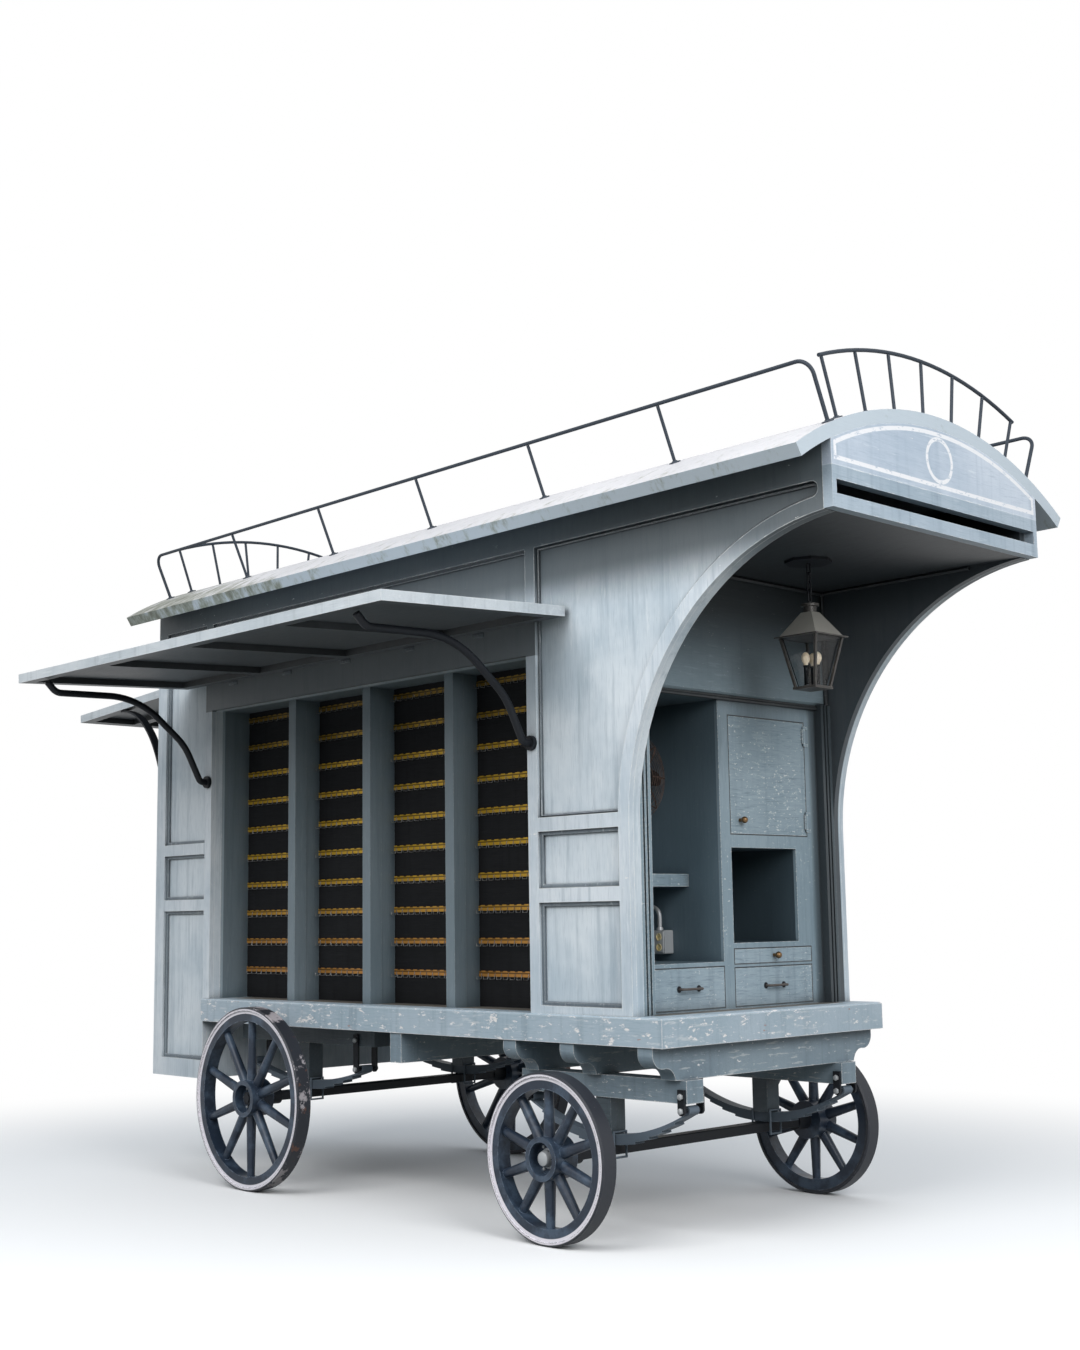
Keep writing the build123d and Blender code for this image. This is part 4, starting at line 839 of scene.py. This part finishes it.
def pickFaces(piece, test):
    # selects the faces whose centre and normal pass the test
    mesh = bmesh.from_edit_mesh(piece.data)
    for face in mesh.faces:
        face.select_set(test(face.calc_center_median(), face.normal))
    mesh.select_flush_mode()
    bmesh.update_edit_mesh(piece.data)


def pickEdges(piece, test):
    # selects the edges whose two ends pass the test
    bpy.ops.mesh.select_mode(type="EDGE")
    mesh = bmesh.from_edit_mesh(piece.data)
    for edge in mesh.edges:
        edge.select_set(test(edge.verts[0].co, edge.verts[1].co))
    mesh.select_flush_mode()
    bmesh.update_edit_mesh(piece.data)


def applyModifier(piece, kind, **values):
    only(piece)
    modifier = piece.modifiers.new(kind.title(), kind)
    for name, value in values.items():
        setattr(modifier, name, value)
    bpy.ops.object.modifier_apply(modifier=modifier.name)


def arrayAlong(piece, count, step):
    applyModifier(piece, "ARRAY", count=count, use_relative_offset=False, use_constant_offset=True,
                  constant_offset_displace=step)


def addBlock(middle, size):
    clearSelection()
    bpy.ops.mesh.primitive_cube_add(size=1, location=middle)
    piece = bpy.context.object
    piece.dimensions = size
    applyPlace()
    return piece


def joinPieces(pieces):
    only(*pieces)
    bpy.ops.object.join()
    return bpy.context.object


def finishPiece(piece, name, material, body="cart", smooth=40):
    only(piece)
    applyPlace()
    startEdit()
    selectAll()
    bpy.ops.mesh.remove_doubles(threshold=doublesGap)
    bpy.ops.mesh.normals_make_consistent(inside=False)
    endEdit()
    piece.name = name
    piece.data.materials.clear()
    piece.data.materials.append(material)
    bpy.ops.object.shade_smooth_by_angle(angle=math.radians(smooth))
    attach(piece, body)
    return piece


def drawRoute(points):
    # one vertex drawn out point by point, left selected in edit mode
    clearSelection()
    bpy.ops.mesh.primitive_plane_add(size=0.001, location=points[0])
    startEdit("VERT")
    selectAll()
    bpy.ops.mesh.merge(type="CENTER")
    for here, there in zip(points, points[1:]):
        bpy.ops.mesh.extrude_region_move(TRANSFORM_OT_translate={"value": there - here})
    selectAll()


def wireThrough(points, radius, closed=False, sides=2):
    drawRoute(points + points[:1] if closed else points)
    if closed:
        bpy.ops.mesh.remove_doubles(threshold=0.0001)
    endEdit()
    bpy.ops.object.convert(target="CURVE")
    wire = bpy.context.object.data
    wire.bevel_depth = radius
    wire.bevel_resolution = sides
    wire.use_fill_caps = not closed
    bpy.ops.object.convert(target="MESH")
    return bpy.context.object


def turned(centre, profile, steps=24, axis=(0, 0, 1), start=(1, 0, 0)):
    # a profile of (reach, height) pairs drawn along the axis and spun round it
    axis, start = Vector(axis), Vector(start)
    drawRoute([centre + start * reach + axis * height for reach, height in profile])
    bpy.ops.mesh.spin(steps=steps, angle=math.tau, center=centre, axis=axis)
    selectAll()
    bpy.ops.mesh.remove_doubles(threshold=doublesGap)
    endEdit()
    return bpy.context.object


# beads round the sunk panels, lying on the boards against the frame
bead = {"width": 0.016, "height": 0.014, "round": 0.007, "side": 0.650, "rear": 0.025}
beadRows = {"boot": (0.541, 1.274), "low": (0.872, 1.274), "middle": (1.330, 1.555), "high": (1.611, 2.716),
            "window": (1.611, 2.275), "frieze": (2.460, 2.716), "foot": (0.541, 0.784)}
nearBays = [(0.081, 0.455, "boot middle high"), (2.887, 3.331, "low middle"), (0.511, 2.831, "frieze")]
farWindows = {"first": 0.511, "pitch": 0.594, "width": 0.538, "count": 4}
rearBays = [(-0.556, -0.028, "foot"), (0.028, 0.556, "foot"), (-0.556, 0.556, "frieze")]


def panelBead(low, high, out):
    # low and high are opposite corners of the panel in its own plane, out is the way it faces
    out = Vector(out)
    middle, span = (low + high) / 2, high - low
    facing = out.to_track_quat("Z", "Y")
    flat = facing.inverted() @ span
    clearSelection()
    bpy.ops.mesh.primitive_plane_add(size=1, location=middle, rotation=facing.to_euler())
    piece = bpy.context.object
    piece.scale = (abs(flat.x), abs(flat.y), 1)
    applyPlace()
    startEdit()
    selectAll()
    bpy.ops.mesh.inset(thickness=bead["width"], depth=0)
    bpy.ops.mesh.delete(type="FACE")
    selectAll()
    bpy.ops.mesh.extrude_region_move(TRANSFORM_OT_translate={"value": out * bead["height"]})
    reach = low.dot(out) + bead["height"]
    edge = [abs(part) / 2 - bead["width"] + slack for part in span]

    def inner(*ends):
        for point in ends:
            away = point - middle
            if abs(point.dot(out) - reach) > slack:
                return False
            if any(abs(out[i]) < 0.5 and abs(away[i]) > edge[i] for i in range(3)):
                return False
        return True

    pickEdges(piece, inner)
    bpy.ops.mesh.bevel(offset=bead["round"], segments=3, affect="EDGES")
    endEdit()
    return piece


def addBeads(name, bays, out, corner):
    made = []
    for left, right, rows in bays:
        for low, high in (beadRows[row] for row in rows.split()):
            made.append(panelBead(corner(left, low), corner(right, high), out))
    finishPiece(joinPieces(made), name, beadDirtAndShadePaint)


farBays = list(nearBays)
for step in range(farWindows["count"]):
    left = farWindows["first"] + farWindows["pitch"] * step
    farBays.append((left, left + farWindows["width"], "low middle window"))
addBeads("near_panel_beads", nearBays, (0, -1, 0), lambda along, z: at(along, -bead["side"], z))
addBeads("far_panel_beads", farBays, (0, 1, 0), lambda along, z: at(along, bead["side"], z))
addBeads("rear_panel_beads", rearBays, (-1, 0, 0), lambda across, z: at(bead["rear"], across, z))
print("panel beads done")

# hooks under each strip of the display
hooks = {"wire": 0.0017, "slope": 0.006, "drop": 0.024, "reach": 0.030, "tip": 0.012, "pitch": 0.042,
         "count": 12, "rows": 10, "rowPitch": 0.1395, "first": 0.9825, "face": -0.4545,
         "bays": (0.560, 1.134, 1.714, 2.294)}


def addHooks(look):
    low = look["first"] - look["drop"]
    out = look["face"] - look["reach"]
    shape = ((look["face"], look["first"]), (look["face"] - look["slope"], low), (out, low),
             (out, low + look["tip"]))
    made = [wireThrough([at(left, y, z) for y, z in shape], look["wire"], sides=0) for left in look["bays"]]
    piece = joinPieces(made)
    arrayAlong(piece, look["count"], (look["pitch"], 0, 0))
    arrayAlong(piece, look["rows"], (0, 0, look["rowPitch"]))
    return piece


finishPiece(addHooks(hooks), "display_hooks", hookWire)
print("hooks done")

# bead round the wing panel, following the arch to the rounded tail
wingBead = {"radius": 0.007, "inset": 0.008, "left": 2.887, "low": 1.611, "top": 2.716, "archX": 4.427,
            "archZ": 1.570, "archRadius": 1.096, "tail": 4.300, "face": 0.655, "steps": 26, "tailSteps": 6}


def addWingBead(look, sign):
    inset = look["inset"]
    reach = look["archRadius"] + inset
    low, top, left = look["low"] + inset, look["top"] - inset, look["left"] + inset
    first = math.asin((low - look["archZ"]) / reach)
    last = math.acos((look["archX"] - look["tail"]) / reach)
    outline = [(left, low)]
    for step in range(look["steps"] + 1):
        turn = first + (last - first) * step / look["steps"]
        outline.append((look["archX"] - reach * math.cos(turn), look["archZ"] + reach * math.sin(turn)))
    end = outline[-1]
    half = (top - end[1]) / 2
    for step in range(1, look["tailSteps"]):
        turn = math.pi * (step / look["tailSteps"] - 0.5)
        outline.append((end[0] + half * math.cos(turn), end[1] + half + half * math.sin(turn)))
    outline += [(end[0], top), (left, top)]
    return wireThrough([at(x, sign * look["face"], z) for x, z in outline], look["radius"], closed=True)


finishPiece(addWingBead(wingBead, -1), "near_wing_bead", beadDirtAndShadePaint)
finishPiece(addWingBead(wingBead, 1), "far_wing_bead", beadDirtAndShadePaint)

# beads in the corners under the canopy, painted near black as painted shade
canopyBead = {"radius": 0.009, "header": 3.376, "side": 0.603, "low": 2.112, "top": 2.601, "front": 4.12}


def addCanopyBeads(look):
    made, corners = [], []
    for sign in both:
        corner = (look["header"], sign * look["side"])
        corners.append(at(*corner, look["top"]))
        front = at(look["front"], sign * look["side"], look["top"])
        made.append(wireThrough([at(*corner, look["low"]), corners[-1], front], look["radius"]))
    made.append(wireThrough(corners, look["radius"]))
    return joinPieces(made)


finishPiece(addCanopyBeads(canopyBead), "canopy_corner_beads", trackShadePaint)

# moulded rail and track between the header and the cabinet, both painted near black as painted shade under
# the header
headStrips = {
    "half": 0.546, "face": 3.350,
    "rail": {"low": 2.086, "high": 2.098, "reach": 0.016, "lip": 0.005},
    "track": {"low": 2.098, "high": 2.1075, "reach": 0.011, "lip": 0.003},
}


def addHeadStrip(look, strip):
    # a bar with its front edges rounded off
    low = at(look["face"], -look["half"], strip["low"])
    high = at(look["face"] + strip["reach"], look["half"], strip["high"])
    piece = addBlock((low + high) / 2, high - low)
    startEdit()
    pickEdges(piece, lambda a, b: min(a.x, b.x) > high.x - slack and abs(a.z - b.z) < slack)
    bpy.ops.mesh.bevel(offset=strip["lip"], segments=4, affect="EDGES")
    endEdit()
    return piece


for name in ("rail", "track"):
    strip = addHeadStrip(headStrips, headStrips[name])
    finishPiece(strip, "cabinet_head_" + name, trackShadePaint)
print("wing, canopy and cabinet beads done")

# fan: wire cage with a domed front over a turned motor
fanCage = {
    "x": 3.085, "y": -0.314, "z": 1.780, "radius": 0.180, "dome": 0.038, "back": 0.050, "wire": 0.0014,
    "bar": 0.0032, "rings": 7, "radials": 8, "eye": 0.40, "backRings": 3, "backRadials": 8, "backEye": 0.30,
    "backFirst": 0.36, "barSteps": 8, "motorBack": 2.8785, "badgeBack": 0.006,
    "badge": [(0, 0.008), (0.050, 0.007), (0.064, 0.004), (0.071, 0.001), (0.072, -0.002)],
    "motorFoot": [(0, 0), (0.034, 0), (0.034, 0.030), (0.048, 0.036), (0.055, 0.052)],
    "motorNose": [(0.055, -0.024), (0.050, -0.008), (0.030, 0), (0.008, 0.004), (0.008, 0.010), (0, 0.010)],
}


def fanRing(look, share, x):
    clearSelection()
    bpy.ops.mesh.primitive_torus_add(major_radius=look["radius"] * share, minor_radius=look["wire"],
                                     major_segments=48, minor_segments=5,
                                     location=at(x, look["y"], look["z"]), rotation=(0, math.pi / 2, 0))
    return bpy.context.object


def spinCopies(piece, centre, axis, count):
    only(piece)
    startEdit("VERT")
    selectAll()
    bpy.ops.mesh.spin(steps=count, dupli=True, angle=math.tau, center=centre, axis=axis)
    endEdit()
    return piece


def addFanCage(look):
    centre = at(look["x"], look["y"], look["z"])

    def front(share):
        return look["x"] + look["dome"] * (1 - share ** 3)

    def rear(share):
        return look["x"] - look["back"] * (1 - share ** 4)

    made = [fanRing(look, 1, look["x"])]
    for side, count, first in ((front, look["rings"], look["eye"]),
                               (rear, look["backRings"], look["backFirst"])):
        for ring in range(count):
            share = first + (1 - first) * ring / count
            made.append(fanRing(look, share, side(share)))
    for side, count, first in ((front, look["radials"], look["eye"]),
                               (rear, look["backRadials"], look["backEye"])):
        shares = [first + (1 - first) * step / look["barSteps"] for step in range(look["barSteps"] + 1)]
        route = [at(side(share), look["y"] + look["radius"] * share, look["z"]) for share in shares]
        made.append(spinCopies(wireThrough(route, look["bar"], sides=0), centre, alongFront, count))
    return joinPieces(made)


def addFanMotor(look):
    badge = at(look["x"] + look["dome"] - look["badgeBack"], look["y"], look["z"])
    depth = look["x"] - look["back"] - look["motorBack"]
    body = look["motorFoot"] + [(reach, depth + height) for reach, height in look["motorNose"]]
    foot = at(look["motorBack"], look["y"], look["z"])
    return joinPieces([turned(badge, look["badge"], 28, alongFront, alongSide),
                       turned(foot, body, 24, alongFront, alongSide)])


cage = finishPiece(addFanCage(fanCage), "fan_cage", cageWire, smooth=50)
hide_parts("fan_guard")
finishPiece(addFanMotor(fanCage), "fan_motor", fanEnamel, smooth=50)
print("fan cage done")

# socket plate with four outlets and the bent conduit over the box
socket = {
    "x": 3.030, "y": -0.150, "z": 1.108, "plate": 0.088, "thick": 0.003, "spread": 0.021,
    "outlet": 0.0155, "outletDepth": 0.008, "outletSquash": 0.9,
    "conduit": 0.009, "conduitIn": 0.026, "boxTop": 0.048, "rise": 0.055, "bend": 0.040, "bendSteps": 8,
    "wall": 2.879, "collar": [(0, -0.002), (0.014, -0.002), (0.014, 0.008), (0.0125, 0.012), (0, 0.012)],
}


def addSocketPlate(look):
    middle = at(look["x"], look["y"] - look["thick"] / 2, look["z"])
    plate = addBlock(middle, (look["plate"], look["thick"], look["plate"]))
    startEdit()
    pickFaces(plate, lambda centre, normal: normal.y < -0.9)
    bpy.ops.mesh.inset(thickness=0.003, depth=0.0015)
    endEdit()
    applyModifier(plate, "BEVEL", width=0.001, segments=2)
    return plate


def addOutlet(look, across, up):
    clearSelection()
    centre = at(look["x"] + across, look["y"] - look["thick"], look["z"] + up)
    bpy.ops.mesh.primitive_cylinder_add(vertices=20, radius=look["outlet"], depth=look["outletDepth"],
                                        location=centre, rotation=(math.pi / 2, 0, 0))
    outlet = bpy.context.object
    outlet.scale = (look["outletSquash"], 1, 1)
    applyPlace()
    startEdit()
    pickFaces(outlet, lambda centre, normal: normal.y < -0.9)
    bpy.ops.mesh.inset(thickness=0.0025, depth=0)
    bpy.ops.mesh.inset(thickness=0.0006, depth=-0.002)
    endEdit()
    return outlet


def addOutlets(look):
    spread = (-look["spread"], look["spread"])
    return joinPieces([addOutlet(look, across, up) for across in spread for up in spread])


def addConduit(look):
    x, y, bend = look["x"], look["y"] + look["conduitIn"], look["bend"]
    top = look["z"] + look["boxTop"]
    straight = top + look["rise"]
    route = [at(x, y, top - 0.004), at(x, y, straight)]
    for step in range(1, look["bendSteps"] + 1):
        turn = math.pi / 2 * step / look["bendSteps"]
        route.append(at(x - bend * (1 - math.cos(turn)), y, straight + bend * math.sin(turn)))
    route.append(at(look["wall"], y, straight + bend))
    return joinPieces([wireThrough(route, look["conduit"], sides=3),
                       turned(at(x, y, top), look["collar"], 16)])


finishPiece(addSocketPlate(socket), "socket_plate", zinc)
finishPiece(addOutlets(socket), "socket_outlets", outletPlastic)
finishPiece(addConduit(socket), "socket_conduit", zinc)
print("socket done")

# wheels: a ring of bolts in every hub, and caps in the front ones
hub = {"cup": 0.817, "boltRing": 0.047, "bolts": 6, "boltRadius": 0.0065, "boltHeight": 0.007,
       "cap": [(0, 0.040), (0.016, 0.039), (0.026, 0.034), (0.031, 0.022), (0.032, 0.006), (0.038, 0.005),
               (0.039, 0)]}


def addHexBolt(centre, out, radius, height):
    clearSelection()
    out = Vector(out)
    bpy.ops.mesh.primitive_cylinder_add(vertices=6, radius=radius, depth=height,
                                        location=Vector(centre) + out * height / 2,
                                        rotation=out.to_track_quat("Z", "Y").to_euler())
    bolt = bpy.context.object
    applyPlace()
    startEdit()
    pickFaces(bolt, lambda centre, normal: normal.dot(out) > 0.9)
    bpy.ops.mesh.inset(thickness=radius * 0.18, depth=radius * 0.15)
    endEdit()
    return bolt


def addHubBolts(look, axle, sign):
    x, _, z = axle["centre"]
    seat = sign * look["cup"]
    first = at(x + look["boltRing"], seat, z)
    bolt = addHexBolt(first, (0, sign, 0), look["boltRadius"], look["boltHeight"])
    return spinCopies(bolt, at(x, seat, z), alongSide, look["bolts"])


def addHubCap(look, axle, sign):
    x, _, z = axle["centre"]
    return turned(at(x, sign * look["cup"], z), look["cap"], 24, (0, sign, 0), alongFront)


for axleName, axle in wheelAxles.items():
    for side, sign in sides.items():
        wheel = axleName + "_" + side
        finishPiece(addHubBolts(hub, axle, sign), wheel + "_hub_bolts", zinc, "wheel_" + wheel)
    if axleName == "front":
        for side, sign in sides.items():
            wheel = axleName + "_" + side
            finishPiece(addHubCap(hub, axle, sign), wheel + "_hub_cap", zinc, "wheel_" + wheel)
print("hub bolts done")

# drawer pulls: round end plates under the bar
pullPlate = {"face": 3.350, "half": 0.058,
             "profile": [(0, 0.003), (0.008, 0.003), (0.0125, 0.0015), (0.013, 0)],
             "drawers": {"left_drawer": (-0.314, 0.931), "large_drawer": (0.217, 0.927)}}


def addPullPlates(look, mid, height):
    ends = [at(look["face"], mid + sign * look["half"], height) for sign in both]
    return joinPieces([turned(end, look["profile"], 16, alongFront, alongSide) for end in ends])


for drawer, spot in pullPlate["drawers"].items():
    finishPiece(addPullPlates(pullPlate, *spot), drawer + "_pull_plates", darkIron, drawer)

# awning: hinge leaves on the dark head board
awningHinge = {
    "first": 0.70, "pitch": 0.46, "count": 5, "low": 2.385, "high": 2.425, "width": 0.070, "face": -0.675,
    "thick": 0.003, "knuckle": 0.005, "screwRise": 0.014, "screws": (-0.022, 0, 0.022),
    "screw": [(0, 0.0015), (0.003, 0.0013), (0.0045, 0)],
}


def addAwningHinges(look):
    first, half, front = look["first"], look["width"] / 2, look["face"] - look["thick"]
    middle = at(first, look["face"] - look["thick"] / 2, (look["low"] + look["high"]) / 2)
    leaf = addBlock(middle, (look["width"], look["thick"], look["high"] - look["low"]))
    applyModifier(leaf, "BEVEL", width=0.0012, segments=2)
    made = [leaf]
    for shift in look["screws"]:
        spot = at(first + shift, front, look["low"] + look["screwRise"])
        made.append(turned(spot, look["screw"], 10, (0, -1, 0), alongFront))
    ends = [at(first + side, look["face"] - look["knuckle"], look["high"]) for side in (-half, half)]
    made.append(wireThrough(ends, look["knuckle"]))
    piece = joinPieces(made)
    arrayAlong(piece, look["count"], (look["pitch"], 0, 0))
    return piece


finishPiece(addAwningHinges(awningHinge), "awning_hinges", shadePaint)
print("pulls and hinges done")


# lantern: candle tubes in drip cups, with flame-shaped bulbs
candles = {
    "x": 3.765, "foot": 2.1012, "ring": 0.026, "count": 3,
    "tube": [(0, 0), (0.013, 0), (0.014, 0.004), (0.009, 0.006), (0.0085, 0.078), (0.012, 0.080),
             (0.0125, 0.084), (0.008, 0.086), (0, 0.086)],
    "bulb": [(0, 0.086), (0.008, 0.086), (0.009, 0.092), (0.015, 0.102), (0.0175, 0.112), (0.016, 0.123),
             (0.011, 0.132), (0.005, 0.137), (0, 0.138)],
}


def addCandles(look, profile):
    made = []
    for count in range(look["count"]):
        turn = math.tau * count / look["count"]
        spot = at(look["x"] + look["ring"] * math.cos(turn), look["ring"] * math.sin(turn), look["foot"])
        made.append(turned(spot, profile, 16))
    return joinPieces(made)


tubes = finishPiece(addCandles(candles, candles["tube"]), "lantern_candle_tubes", darkIron)
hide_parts("lantern_candles")
finishPiece(addCandles(candles, candles["bulb"]), "lantern_bulbs", candleWax, smooth=80)
print("candles done")

# roof rails: round flanges under the posts
railFeet = {
    "radius": 1.6, "centre": 1.459, "lean": 24.0, "front": 4.366, "rear": 0.060, "gaps": 6,
    "endLean": 20.5, "spread": 0.98, "ends": (4.330, 0.105), "endPosts": 7,
    "profile": [(0, 0.008), (0.010, 0.008), (0.012, 0.005), (0.022, 0.004), (0.023, 0)],
}


def addRailFeet(look):
    spots = []
    for step in range(look["gaps"] + 1):
        along = look["rear"] + (look["front"] - look["rear"]) * step / look["gaps"]
        spots += [(along, math.radians(sign * look["lean"])) for sign in both]
    for along in look["ends"]:
        for step in range(look["endPosts"]):
            share = 2 * step / (look["endPosts"] - 1) - 1
            spots.append((along, math.radians(look["endLean"] * look["spread"] * share)))
    made = []
    for along, lean in spots:
        out = Vector((0, math.sin(lean), math.cos(lean)))
        foot = at(along, 0, look["centre"]) + out * look["radius"]
        made.append(turned(foot, look["profile"], 12, out, alongFront))
    return joinPieces(made)


finishPiece(addRailFeet(railFeet), "rail_feet", railIron)
print("roof pieces done")

# springs: bolts through the shackles and clips over the leaves
springGear = {
    "mid": 0.4785, "pinFace": 0.0576, "bolt": 0.012, "boltHeight": 0.008, "eye": 0.420,
    "clip": 0.006, "clipSide": 0.0345, "clipPlaces": (-0.048, 0.048),
    "axles": ({"x": 3.070, "eyeZ": 0.493, "strapZ": 0.546, "clipTop": 0.3870, "clipFoot": 0.290},
              {"x": 1.093, "eyeZ": 0.542, "strapZ": 0.673, "clipTop": 0.4805, "clipFoot": 0.384}),
}


def addShackleBolts(look):
    first = addHexBolt((0, 0, 0), alongSide, look["bolt"], look["boltHeight"])
    made = []
    for axle, side, end, face, level in product(look["axles"], both, both, both, ("eyeZ", "strapZ")):
        only(first)
        bpy.ops.object.duplicate()
        if face < 0:
            bpy.ops.transform.rotate(value=math.pi, orient_axis="Z", center_override=(0, 0, 0))
        across = side * look["mid"] + face * look["pinFace"]
        bpy.ops.transform.translate(value=at(axle["x"] + end * look["eye"], across, axle[level]))
        applyPlace()
        made.append(bpy.context.object)
    bpy.data.objects.remove(first)
    return joinPieces(made)


def addSpringClips(look):
    corners = ((-1, "clipFoot"), (-1, "clipTop"), (1, "clipTop"), (1, "clipFoot"))
    made = []
    for axle, side, step in product(look["axles"], both, look["clipPlaces"]):
        route = [at(axle["x"] + step, side * look["mid"] + turn * look["clipSide"], axle[level])
                 for turn, level in corners]
        made.append(wireThrough(route, look["clip"], closed=True, sides=1))
    return joinPieces(made)


finishPiece(addShackleBolts(springGear), "shackle_bolts", zinc)
finishPiece(addSpringClips(springGear), "spring_clips", springSteel)
print("spring gear done")
